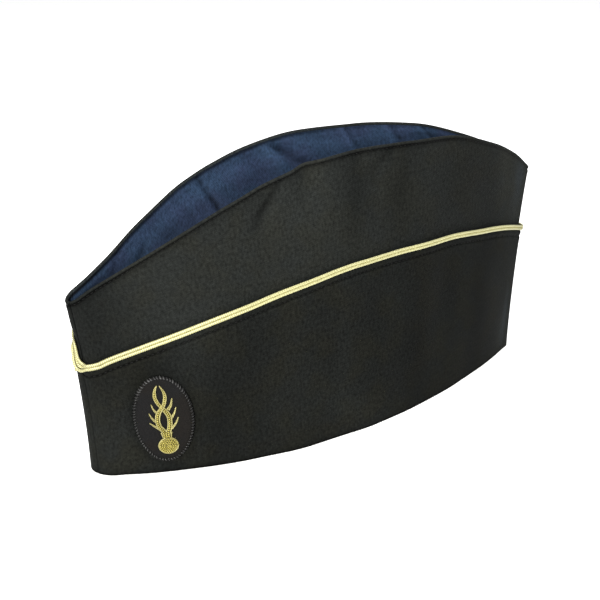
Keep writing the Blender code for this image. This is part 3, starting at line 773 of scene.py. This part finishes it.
stitchRows = {
    # distance below the edge, how far sunk in, pitch, length, radius, seed
    "turnup": (0.0070, 0.00012, 0.0027, 0.0021, 0.00021, 11),
    "crest": (0.0019, 0.0, 0.0024, 0.0018, 0.00015, 21),
    "bow": (-1.6, 0.1, 0.75, 1.0, 0.75, 0.1, -1.6),
    "thick": (0.6, 0.95, 1.0, 1.0, 1.0, 0.95, 0.6),
}


def stitchStrips(path, out, pitch, length, radius, seed):
    draw = np.random.default_rng(seed)
    up = unit(np.cross(np.gradient(path, axis=0), out))
    distance = travelled(path)
    bow, thick = (np.array(stitchRows[key])[:, None] * radius for key in ("bow", "thick"))
    strips = []
    for i in range(int(distance[-1] / pitch) - 1):
        middle = (i + 0.9) * pitch + draw.uniform(-0.05, 0.05) * pitch
        at = middle + np.linspace(-0.5, 0.5, 7) * length
        lean = np.linspace(-1, 1, 7)[:, None] * draw.uniform(-0.3, 0.3) * radius
        strips.append(stitch(path, up, out, distance, at, bow, lean, thick, 8))
    return strips


def makeStitches(material):
    strips = []
    for side in (1, -1):
        first = seamTurn() + side * 0.06
        turns = stops((first, side, 30), (side, 2 * side, 500), (2 * side, 2.9 * side, 20))
        rows = ((turnupPanel, edgeShare(turns), "turnup"), (crownPanel, 1, "crest"))
        for panel, top, word in rows:
            below, sunk, pitch, length, radius, seed = stitchRows[word]
            share = top - below / crestHeightAt(turns)
            shift = panel["outward"] + edgeRelief(panel, turns, below) + seamDrop(turns, 1.0)
            path = wallAt(turns, share, shift - sunk)
            out = wallNormal(turns, share)
            strips += stitchStrips(path, out, pitch, length, radius, seed + side)
    place(meshPiece("seamStitches", strips, material), "turnup_twill")


# The badge: felt patch, overcast edge and raised gold embroidery

badge = {
    "fromFront": 0.041,
    "aboveBase": 0.030,
    "patchRise": 0.0006,
    "width": 0.0300,
    "height": 0.0468,
    # painted shadow of the raised patch on the turn-up round it
    "paintedShadow": (-0.24, 0.0035),  # tone of the turn-up round the patch, and how far it reaches
    "lift": 0.0003,
    "felt": 0.0011,
    "feltFoot": 0.0001,
    "rimThinner": (0.45, 0.05),  # by how much, and over which share of the way in
    "nap": 0.00006,
    "napPitches": (5200, 2100, 4700, 2600),
    "edgeRadius": 0.0009,
    "coreLift": 0.72,
    "coreThickness": 0.68,
    "cordSides": 8,
}


def badgeTrack():
    # turns, and how far each is from the front at the badge's height
    turns = np.linspace(0, 2, 500)
    share = badge["aboveBase"] / crestHeightAt(turns)
    return turns, travelled(wallAt(turns, share, turnupPanel["outward"]))


def badgePaintedShadow(turns, share):
    # painted shadow on the turn-up round the patch
    along = np.interp(turns, *badgeTrack())
    up = share * crestHeightAt(turns) - badge["aboveBase"] - badge["patchRise"]
    reach = np.hypot((along - badge["fromFront"]) / badge["width"], up / badge["height"]) * 2
    tone, spread = badge["paintedShadow"]
    return tone * bell((reach - 1) * badge["width"] / 2, 0, spread) * (turns > 0)


def ontoTurnup(flat):
    # bends points drawn across, up and away from the badge's middle onto the turn-up
    turns, reached = badgeTrack()
    turn = np.interp(badge["fromFront"] + flat[..., 0], reached, turns)
    share = (badge["aboveBase"] + flat[..., 1]) / crestHeightAt(turn)
    return wallAt(turn, share, turnupPanel["outward"] + badge["lift"] + flat[..., 2])


def smoothLine(points, count):
    # Catmull-Rom through the points
    p = np.array(points, float)
    p = np.concatenate([2 * p[:1] - p[1:2], p, 2 * p[-1:] - p[-2:-1]])
    t = np.linspace(0, len(p) - 3 - 1e-9, count)
    i = t.astype(int)
    f = (t - i)[:, None]
    a, b, c, d = p[i], p[i + 1], p[i + 2], p[i + 3]
    bend = (2 * a - 5 * b + 4 * c - d) * f ** 2 + (3 * b - a - 3 * c + d) * f ** 3
    return 0.5 * (2 * b + (c - a) * f + bend)


def flatCord(line, height, radius, wrap=None):
    # a cord drawn on the badge's plane, then bent with it; line is [n, 2], wrap pitch and depth
    sides = badge["cordSides"]
    path = np.concatenate([line, np.broadcast_to(height, (len(line),))[:, None]], 1)
    run = np.gradient(path, axis=0)
    aside = unit(np.stack([run[:, 1], -run[:, 0], np.zeros(len(path))], -1))
    upward = unit(np.cross(aside, unit(run)))
    upward *= np.sign(upward[:, 2:3] + 1e-9)
    radii = np.broadcast_to(radius, (len(path),))[:, None] * np.ones((1, sides))
    if wrap:
        radii = radii * woundRadii(travelled(path), *wrap, sides)
    grid, *rest = tubeStrip(path, aside, upward, radii, sides)
    return ontoTurnup(grid), *rest


def ovalGrid(across, tall, sliceCount, rowCount, degrees):
    # slices of an oval that crowd towards its ends, with rows that crowd towards its rim
    slices = np.linspace(-1, 1, sliceCount)[:, None] * math.radians(degrees)
    rows = np.sin(np.linspace(-1, 1, rowCount) * math.pi / 2)[None, :]
    return np.sin(slices) * across * np.ones_like(rows), np.cos(slices) * rows * tall


def pad(x, y, middle, top, foot):
    # a raised oval between its foot and its top
    x, y = x + middle[0], y + middle[1]
    upper, lower = (np.stack([x, y, np.broadcast_to(z, x.shape)], -1) for z in (top, foot))
    ring = np.concatenate([upper, lower[:, ::-1]], 1)
    return ontoTurnup(ring), np.concatenate([ring, ring[:, :1]], 1)[..., :2], 0


def badgeOval():
    angles = np.linspace(0, 2 * math.pi, 2001)
    across, tall = (badge[size] / 2 - badge["edgeRadius"] for size in ("width", "height"))
    oval = np.stack([np.cos(angles) * across, np.sin(angles) * tall + badge["patchRise"]], -1)
    return oval, travelled(oval)


def makePatch(material):
    across, tall = (badge[size] / 2 - badge["edgeRadius"] * 0.9 for size in ("width", "height"))
    x, y = ovalGrid(across, tall, 84, 72, 88)
    rim = np.clip(1 - np.hypot(x / across, y / tall), 0, 1)
    thinner, reach = badge["rimThinner"]
    a, b, c, d = badge["napPitches"]
    top = badge["felt"] * (1 - thinner * np.exp(-rim / reach))
    top += badge["nap"] * np.sin(x * a + 3 * np.sin(y * b)) * np.sin(y * c + 2 * np.sin(x * d))
    strips = [pad(x, y, (0, badge["patchRise"]), top, badge["feltFoot"])]
    # a padded core under the overcast loops
    oval, distance = badgeOval()
    core = resample(oval, distance, np.linspace(0, distance[-1], 161)[:-1])
    run = np.roll(core, -1, 0) - np.roll(core, 1, 0)
    level = np.ones((len(core), 1))
    aside = unit(np.concatenate([run[:, 1:], -run[:, :1], 0 * level], 1))
    path = np.concatenate([core, level * badge["edgeRadius"] * badge["coreLift"]], 1)
    upward = level * np.array([[0, 0, 1.0]])
    radii = level * badge["edgeRadius"] * badge["coreThickness"]
    grid, *rest = tubeStrip(path, aside, upward, radii, badge["cordSides"], True)
    strips.append((ontoTurnup(grid), *rest))
    place(meshPiece("badgePatch", strips, material), "badge_cloth", "badge_patch")


overcast = {
    "loops": 76,
    "radius": 0.00041,
    "slant": 0.000405,
    "points": 9,
    "uneven": (-0.12, 0.12),  # of the loops' pitch
    "reach": (1.05, 1.20),  # of the edge's radius
    "topReach": 0.40,  # how much shorter round the top
    "foot": 0.15,
    "rise": 1.35,
    "thickness": (0.88, 1.05),
    # painted glints on the loops round the top, and painted shade on those at the back, which
    # hardly show
    "glint": 6.0,
    "glints": (0.2, 1.3),
    "shade": 0.5,
}


def makeOvercast(material):
    o = overcast
    draw = np.random.default_rng(7)
    oval, distance = badgeOval()
    full = distance[-1]
    k = np.linspace(-1, 1, o["points"])
    arch = np.cos(k * math.pi / 2)
    strips = []
    for i in range(o["loops"]):
        at = full * (i + draw.uniform(*o["uneven"])) / o["loops"]
        here = resample(oval, distance, np.array([at % full, (at + 1e-4) % full]))
        tangent = unit(here[1] - here[0])
        away = np.array([tangent[1], -tangent[0]])
        topShare = np.clip(here[0][1] / badge["height"] * 4 - 1, 0, 1)
        backShare = np.clip(here[0][0] / badge["width"] * 4 - 1, 0, 1) * (1 - topShare)
        reach = badge["edgeRadius"] * draw.uniform(*o["reach"]) * (1 - o["topReach"] * topShare)
        line = here[0] + k[:, None] * away * reach
        line = line + np.sin(k * 1.2)[:, None] * tangent * o["slant"]
        height = badge["edgeRadius"] * (o["foot"] + o["rise"] * arch)
        radius = o["radius"] * draw.uniform(*o["thickness"]) * (0.8 + 0.2 * arch)
        # painted glint at the top, painted shade at the back
        glint = o["glint"] * topShare * draw.uniform(*o["glints"]) - o["shade"] * backShare
        loop = flatCord(line, height, radius)
        strips.append((*loop, np.full(loop[0].shape[:2], glint)))
    place(meshPiece("badgeOvercast", strips, material), "badge_thread", "badge_edge")


grenade = {
    "cordRadius": 0.00042,
    "fillRadius": 0.00062,
    # pitch and depth of the turns on a plain cord, a beaded cord, and the ball's beaded cord
    "wound": (0.00062, 0.16),
    "beaded": (0.00105, 0.60),
    "ballBeaded": (0.00105, 0.75),
    "ball": (0.0007, -0.0137),
    "ballRadius": 0.0050,
    "ballTall": 0.88,
    "ballHeight": 0.0013,
    "ballPitch": 0.00105,
    "ballHole": 0.0010,
    "padShare": 0.93,
    "beadLift": 0.00018,
    "ringLift": 0.0004,
    "neckLift": (0.0006, 0.0004),
    "flameLift": 0.00045,
    "fillDrop": 0.0001,
    # the neck's cords, from foot to head: half spread, shift, distance up
    "neck": ((0.0026, 0.0004, -0.0062), (0.002208, 0.0004, -0.0077), (0.0020, 0.0006, -0.0092)),
    "neckCords": 5,
    "longTaper": 0.22,
    "shortTaper": 0.85,
    # reach of the edges to both sides and extra lift in millimetres, and points across and up
    # from the middle in millimetres, root to tip; first the two long strands, which cross
    "flames": (
        (0.92, 0.35, (
            (0.2, -8.2), (-0.9, -5.3), (-2.6, -2.8), (-3.1, 0.5), (-2.6, 3.6), (-1.2, 6.0),
            (0.6, 8.3), (1.5, 10.5), (2.0, 13.2), (1.6, 16.0), (0.1, 19.2),
        )),
        (0.92, 0.10, (
            (0.4, -8.2), (1.5, -6.0), (2.4, -3.4), (2.8, -0.3), (2.6, 2.6), (1.4, 5.1),
            (-0.4, 7.6), (-1.9, 10.0), (-2.8, 12.6), (-2.8, 15.1), (-2.2, 17.4), (-1.1, 19.3),
        )),
        (0.30, 0.00, ((-3.0, 4.8), (-4.3, 6.5), (-5.2, 9.6))),
        (0.34, 0.00, ((-3.6, -0.6), (-5.6, 1.9), (-6.9, 4.9))),
        (0.34, 0.00, ((-2.2, -4.6), (-5.1, -2.3), (-7.2, -0.4))),
        (0.52, 0.00, ((2.6, 5.9), (4.2, 8.3), (5.3, 12.0))),
        (0.30, 0.00, ((3.8, 1.2), (5.5, 4.0), (6.6, 7.0))),
        (0.30, 0.00, ((3.2, -4.6), (5.7, -1.6), (7.1, 1.4))),
    ),
}


def ballCords():
    # a padded ball, one beaded cord wound from its rim to its middle, and a plain cord round it
    g, base, middle = grenade, badge["felt"], np.array(grenade["ball"])
    radius, cord = g["ballRadius"], g["cordRadius"]

    def domed(away):
        return base + g["ballHeight"] * np.sqrt(np.clip(1 - (away / radius) ** 2, 0, 1))

    x, y = ovalGrid(radius * g["padShare"], radius * g["padShare"], 26, 22, 87)
    fills = [pad(x, y * g["ballTall"], middle, domed(np.hypot(x, y)), base * 0.9)]
    rounds = (radius - cord - g["ballHole"]) / g["ballPitch"]
    angle = np.linspace(0, 2 * math.pi * rounds, 1100)
    away = radius - cord - g["ballPitch"] * angle / (2 * math.pi)
    line = np.stack([np.cos(angle) * away, np.sin(angle) * away * g["ballTall"]], -1) + middle
    fills.append(flatCord(line, domed(away) + g["beadLift"], cord * 1.30, g["ballBeaded"]))
    angle = np.linspace(0, 2 * math.pi, 200)
    line = np.stack([np.cos(angle), np.sin(angle) * g["ballTall"]], -1) * (radius - cord * 0.6)
    return [flatCord(line + middle, base + g["ringLift"], cord * 1.2, g["wound"])], fills


def neckCords():
    g, edges, fills = grenade, [], []
    for k in np.linspace(-1, 1, g["neckCords"]):
        line = smoothLine([(spread * k + shift, up) for spread, shift, up in g["neck"]], 40)
        height = badge["felt"] + g["neckLift"][0] + g["neckLift"][1] * (1 - k * k)
        if abs(k) > 0.9:
            edges.append(flatCord(line, height, g["cordRadius"], g["wound"]))
        else:
            fills.append(flatCord(line, height, g["fillRadius"], g["beaded"]))
    return edges, fills


def flameCords(reach, lift, points):
    # two plain cords beside a beaded one
    g, long = grenade, len(points) > 4
    line = smoothLine(np.array(points) / 1000, 34 * (len(points) - 1))
    t = np.linspace(0, 1, len(line))
    taper = np.clip((1 - t) / g["longTaper" if long else "shortTaper"], 0, 1) ** 0.7
    if long:  # the two long strands are slimmer above their crossing
        taper = taper * (1 - 0.34 * np.clip((t - 0.42) / 0.16, 0, 1))
    run = np.gradient(line, axis=0)
    aside = unit(np.stack([run[:, 1], -run[:, 0]], -1)) * (reach / 1000 * taper)[:, None]
    height = lift / 1000 * np.sin(np.clip(t * 1.6, 0, 1) * math.pi)
    height += badge["felt"] + g["flameLift"]
    radius = g["cordRadius"] * (0.50 + 0.50 * taper) * (1 if long else 0.86)
    edges = [flatCord(line + k * aside, height, radius, g["wound"]) for k in (-1, 1)]
    radius = g["fillRadius"] * (reach / 0.92) * (0.15 + 0.85 * taper)
    return edges, [flatCord(line, height - g["fillDrop"], radius, g["beaded"])]


def makeEmbroidery(material, fillMaterial):
    parts = [ballCords(), neckCords()] + [flameCords(*flame) for flame in grenade["flames"]]
    edges, fills = (sum(cords, []) for cords in zip(*parts))
    place(meshPiece("badgeEmbroidery", edges, material), "gold_thread", "badge_grenade")
    place(meshPiece("badgeFilling", fills, fillMaterial), "gold_thread")


# Materials

def node(tree, kind, inputs=None, **settings):
    made = tree.nodes.new(kind if kind.startswith("NodeGroup") else "ShaderNode" + kind)
    for key, value in settings.items():
        setattr(made, key, value)
    for key, value in (inputs or {}).items():
        if isinstance(value, bpy.types.NodeSocket):
            tree.links.new(value, made.inputs[key])
        else:
            made.inputs[key].default_value = value
    return made


def maths(tree, operation, a, b=0.0):
    return node(tree, "Math", {0: a, 1: b}, operation=operation).outputs[0]


def plus(tree, a, b):
    return maths(tree, "ADD", a, b)


def times(tree, a, b):
    return maths(tree, "MULTIPLY", a, b)


def wave(tree, distance, pitch, rate=1):
    rounds = maths(tree, "DIVIDE", distance, pitch)
    return maths(tree, "SINE", times(tree, rounds, 2 * math.pi * rate))


def dotted(tree, vector, way):
    made = node(tree, "VectorMath", {0: vector, 1: way}, operation="DOT_PRODUCT")
    return made.outputs["Value"]


def scaled(tree, color, level):
    return node(tree, "VectorMath", {0: color, "Scale": level}, operation="SCALE").outputs[0]


def noise(tree, vector, scale, detail=2.0, dimensions="3D", **more):
    inputs = {"Vector": vector, "Scale": scale, "Detail": detail, **more}
    return node(tree, "TexNoise", inputs, noise_dimensions=dimensions).outputs[0]


def ranged(tree, value, low=0.0, high=1.0, toLow=0.0, toHigh=1.0):
    ends = {"From Min": low, "From Max": high, "To Min": toLow, "To Max": toHigh}
    return node(tree, "MapRange", {"Value": value, **ends}).outputs[0]


def blended(tree, share, a, b):
    return node(tree, "Mix", {0: share, 6: a, 7: b}, data_type="RGBA").outputs[2]


def paintedShadingTone(tree):
    # painted light and shade of each point, with the seam's dark line
    return node(tree, "Attribute", attribute_name="paintedShadingTone").outputs["Fac"]


def newGroup(name, inputs, outputs):
    # inputs by name with their kind and value, outputs by name with their kind
    group = bpy.data.node_groups.new(name, "ShaderNodeTree")
    for label, (kind, value) in inputs.items():
        socket = group.interface.new_socket(label, in_out="INPUT", socket_type="NodeSocket" + kind)
        if value is not None:
            socket.default_value = value
    for label, kind in outputs.items():
        group.interface.new_socket(label, in_out="OUTPUT", socket_type="NodeSocket" + kind)
    return group, node(group, "NodeGroupInput").outputs


def closeGroup(group, results):
    end = node(group, "NodeGroupOutput")
    for label, socket in results.items():
        group.links.new(socket, end.inputs[label])
    return group


def makeTwillGroup():
    # steep twill ribs broken into floats, with uneven yarns
    group, given = newGroup(
        "twillWeave",
        {"Map": ("Vector", None), "Pitch": ("Float", 0.0006), "Grain": ("Float", 0.5)},
        {"Height": "Float", "Shade": "Float"},
    )
    ribs = wave(group, dotted(group, given["Map"], (0.5, 0.866, 0)), given["Pitch"])
    floats = wave(group, dotted(group, given["Map"], (0.95, -0.3, 0)), given["Pitch"], 0.62)
    fine = noise(group, given["Map"], 640.0, dimensions="2D")
    yarns = node(group, "VectorMath", {0: given["Map"], 1: (900.0, 330.0, 0)}, operation="MULTIPLY")
    uneven = noise(group, yarns.outputs[0], 1.0, 1.0, "2D")
    height = plus(group, times(group, ribs, 0.30), times(group, floats, 0.12))
    height = plus(group, height, times(group, fine, given["Grain"]))
    grains, streaks = (ranged(group, value, 0.28, 0.72) for value in (fine, uneven))
    shade = plus(group, times(group, grains, 0.52), times(group, streaks, 0.30))
    shade = plus(group, shade, times(group, plus(group, ribs, 1.0), 0.09))
    return closeGroup(group, {"Height": height, "Shade": shade})


def makeToneGroup():
    # broad patches of tone, yarn shade, painted light and shade, and a little pale lint
    dark = (0.02, 0.02, 0.02, 1)
    group, given = newGroup(
        "clothTone",
        {
            "Color": ("Color", dark), "Shade": ("Float", 0.5), "Contrast": ("Float", 0.3),
            "Lint": ("Float", 0.02), "PaintedShade": ("Float", 0.0), "Tint": ("Color", dark),
        },
        {"Color": "Color"},
    )
    spot = node(group, "TexCoord").outputs["Object"]
    broad = noise(group, spot, 26.0, 3.0, Roughness=0.55)
    level = plus(group, times(group, given["Shade"], 1.3), times(group, broad, 0.7))
    level = times(group, maths(group, "SUBTRACT", level, 1.0), given["Contrast"])
    # painted light and shade scale the cloth's colour
    paintedShadeFactor = maths(group, "MAXIMUM", plus(group, given["PaintedShade"], 1.0), 0.05)
    level = times(group, plus(group, level, 1.0), paintedShadeFactor)
    patches = ranged(group, noise(group, spot, 55.0), 0.42, 0.62)
    dyed = blended(group, patches, given["Color"], given["Tint"])
    # the strongest painted light takes a bluish cast
    edges = ranged(group, given["PaintedShade"], 0.35, 0.80)
    dyed = blended(group, edges, dyed, (0.0072, 0.0086, 0.0096, 1))
    lint = ranged(group, noise(group, spot, 900.0), 0.70, 0.80)
    mask = times(group, lint, given["Lint"])
    mixed = blended(group, mask, scaled(group, dyed, level), (0.45, 0.45, 0.43, 1))
    return closeGroup(group, {"Color": mixed})


def makeWrapGroup():
    # thread wound round a cord: slanted turns along the cord's own map
    group, given = newGroup(
        "threadWrap",
        {"Map": ("Vector", None), "Pitch": ("Float", 0.0005), "Lean": ("Float", 0.5)},
        {"Height": "Float", "Shade": "Float"},
    )
    parts = node(group, "SeparateXYZ", {0: given["Map"]}).outputs
    slanted = plus(group, parts[0], times(group, parts[1], given["Lean"]))
    glint = noise(group, node(group, "TexCoord").outputs["Object"], 1600.0)
    height = plus(group, times(group, wave(group, slanted, given["Pitch"]), 0.5), glint)
    return closeGroup(group, {"Height": height, "Shade": glint})


def newMaterial(name, values):
    material = bpy.data.materials.new(name)
    material.use_nodes = True
    shader = material.node_tree.nodes["Principled BSDF"]
    for key, value in values.items():
        shader.inputs[key].default_value = value
    return material, material.node_tree, shader


def mapped(tree, group, values):
    # the outputs of a group that reads the piece's own map
    flat = node(tree, "UVMap", uv_map="clothMap").outputs[0]
    return node(tree, "Group", {"Map": flat, **values}, node_tree=group).outputs


def finishMaterial(tree, shader, color, surface, rough, bump, distance):
    # roughness from one value to another with the surface's shade, and bumps of its height
    lumps = {"Height": surface["Height"], "Strength": bump, "Distance": distance}
    sockets = {
        "Base Color": color,
        "Roughness": ranged(tree, surface["Shade"], 0.0, 1.0, *rough),
        "Normal": node(tree, "Bump", lumps).outputs[0],
    }
    for key, socket in sockets.items():
        tree.links.new(socket, shader.inputs[key])


def twillMaterial(name, color, tint, contrast, pitch, grain, rough, bump, sheen, specular):
    values = zip(("Sheen Weight", "Sheen Roughness", "Sheen Tint"), sheen)
    material, tree, shader = newMaterial(name, {**dict(values), "Specular IOR Level": specular})
    weave = mapped(tree, twillWeave, {"Pitch": pitch, "Grain": grain})
    values = {
        "Color": (*color, 1), "Tint": (*tint, 1), "Contrast": contrast, "Lint": clothLint,
        "PaintedShade": paintedShadingTone(tree), "Shade": weave["Shade"],
    }
    toned = node(tree, "Group", values, node_tree=clothTone).outputs["Color"]
    finishMaterial(tree, shader, toned, weave, rough, bump, clothBump)
    return material


def threadMaterial(name, dark, light, ends, pitch, lean, rough, bump, metal, specular):
    values = {"Metallic": metal, "Specular IOR Level": specular}
    material, tree, shader = newMaterial(name, values)
    wound = mapped(tree, threadWrap, {"Pitch": pitch, "Lean": lean})
    ramp = node(tree, "ValToRGB", {"Fac": wound["Height"]})
    for stop, position, color in zip(ramp.color_ramp.elements, ends, (dark, light)):
        stop.position = position
        stop.color = (*color, 1)
    # painted light and shade scale the thread's colour
    toned = scaled(tree, ramp.outputs[0], plus(tree, paintedShadingTone(tree), 1.0))
    finishMaterial(tree, shader, toned, wound, rough, bump, threadBump)
    return material


clothLint = 0.01
clothBump = 0.0002
threadBump = 0.00012

# colour, tint, contrast, pitch, grain, roughness, bump, sheen (weight, roughness, tint), specular
cloths = {
    "blackTwill": (
        (0.0077, 0.0085, 0.0080), (0.0081, 0.0086, 0.0074), 0.80, 0.00085, 0.8,
        (0.70, 0.90), 0.5, (0.012, 0.30, (0.90, 0.95, 1.0, 1)), 0.03,
    ),
    # the same black twill as the crown's, painted darker as shade, since the turn-up gets less of
    # the light from above
    "turnupTwillPaintedShade": (
        (0.0049, 0.0054, 0.0050), (0.0053, 0.0055, 0.0044), 0.95, 0.00085, 0.8,
        (0.70, 0.90), 0.5, (0.010, 0.30, (0.90, 0.95, 1.0, 1)), 0.03,
    ),
    "blueTwill": (
        (0.0112, 0.0208, 0.0400), (0.0126, 0.0194, 0.0396), 0.70, 0.00090, 0.8,
        (0.60, 0.80), 0.5, (0.015, 0.30, (0.80, 0.88, 1.0, 1)), 0.04,
    ),
    "badgeFelt": (
        (0.0036, 0.0035, 0.0037), (0.0040, 0.0034, 0.0030), 0.50, 0.00045, 1.4,
        (0.80, 0.95), 0.3, (0.02, 0.50, (0.90, 0.90, 0.88, 1)), 0.08,
    ),
}

# dark, light, where they lie on the ramp, pitch, lean, roughness, bump, metallic, specular
threads = {
    "goldBraid": (
        (0.200, 0.186, 0.066), (0.490, 0.472, 0.270), (0.0, 1.1), 0.00105, 0.9,
        (0.34, 0.50), 0.5, 0.45, 0.35,
    ),
    "grooveStitch": (
        (0.13, 0.115, 0.035), (0.38, 0.35, 0.14), (0.0, 1.2), 0.00040, 0.6,
        (0.40, 0.60), 0.3, 0.3, 0.5,
    ),
    "goldThread": (
        (0.090, 0.072, 0.016), (0.375, 0.345, 0.138), (0.1, 1.2), 0.00062, 0.9,
        (0.28, 0.45), 0.6, 0.55, 0.6,
    ),
    "goldFill": (
        (0.050, 0.038, 0.005), (0.350, 0.300, 0.056), (0.2, 1.05), 0.00105, 0.6,
        (0.32, 0.50), 0.6, 0.45, 0.5,
    ),
    "overcastThread": (
        (0.003, 0.003, 0.003), (0.010, 0.010, 0.010), (0.0, 1.0), 0.00030, 0.8,
        (0.20, 0.30), 0.2, 0.0, 0.22,
    ),
    "seamThread": (
        (0.002, 0.002, 0.002), (0.006, 0.006, 0.006), (0.0, 1.2), 0.00030, 0.8,
        (0.50, 0.70), 0.4, 0.0, 0.1,
    ),
}


# Floor, light and camera

studio = {
    "cameraPlace": (0.4178, -0.2767, 0.2776),
    "cameraTurn": (66.648, 0.281, 57.960),
    "lens": 59.059,
    "sensor": 36,
    "clipStart": 0.01,
    "worldColor": (1.0, 1.0, 1.0),
    "worldStrength": 0.95,
    "floorSize": 6,
    "floorTint": (0.93, 0.97),
    "floorRoughness": 0.9,
    # name, place, aim, size, watts, colour
    "lights": (
        ("frontSoft", (0.78, -0.82, 0.58), (0.0, -0.03, 0.06), 0.50, 31, (1.0, 0.99, 0.94)),
        ("topSoft", (-0.15, 0.15, 1.10), (0.0, 0.0, 0.06), 0.70, 12, (0.96, 0.98, 1.0)),
    ),
}


def makeStudio():
    bpy.ops.mesh.primitive_plane_add(size=studio["floorSize"])
    floor = bpy.context.object
    floor.name = "floor"
    material, tree, shader = newMaterial("paleFloor", {"Roughness": studio["floorRoughness"]})
    grain = node(tree, "TexNoise", {"Scale": 300.0, "Detail": 2.0}).outputs[0]
    tint = ranged(tree, grain, 0.0, 1.0, *studio["floorTint"])
    tree.links.new(tint, shader.inputs["Base Color"])
    floor.data.materials.append(material)
    world = bpy.data.worlds.new("studioWorld")
    world.use_nodes = True
    sky = world.node_tree.nodes["Background"].inputs
    sky[0].default_value = (*studio["worldColor"], 1)
    sky[1].default_value = studio["worldStrength"]
    bpy.context.scene.world = world
    for name, spot, aim, size, watts, color in studio["lights"]:
        light = bpy.data.lights.new(name, "AREA")
        light.shape = "DISK"
        light.size = size
        light.energy = watts
        light.color = color
        lamp = linked(name, light)
        lamp.location = spot
        lamp.rotation_euler = (Vector(aim) - Vector(spot)).to_track_quat("-Z", "Y").to_euler()
    camera = bpy.data.cameras.new("photoCamera")
    camera.lens = studio["lens"]
    camera.sensor_width = studio["sensor"]
    camera.clip_start = studio["clipStart"]
    eye = linked("photoCamera", camera)
    eye.location = studio["cameraPlace"]
    eye.rotation_euler = Euler([math.radians(a) for a in studio["cameraTurn"]])
    bpy.context.scene.camera = eye
    bpy.context.scene.view_settings.view_transform = "Standard"


print("studio: floor, lights and camera")
makeStudio()
print("materials: cloths and threads")
twillWeave, clothTone, threadWrap = makeTwillGroup(), makeToneGroup(), makeWrapGroup()
cloth = {name: twillMaterial(name, *look) for name, look in cloths.items()}
thread = {name: threadMaterial(name, *look) for name, look in threads.items()}
print("walls: crown and turn-up")
makeWalls(cloth["blackTwill"], cloth["turnupTwillPaintedShade"])
print("top piece")
makeTopPiece(cloth["blueTwill"])
print("braid")
makeBraid(thread["goldBraid"], thread["grooveStitch"])
print("stitches")
makeStitches(thread["seamThread"])
print("badge")
makePatch(cloth["badgeFelt"])
makeOvercast(thread["overcastThread"])
makeEmbroidery(thread["goldThread"], thread["goldFill"])
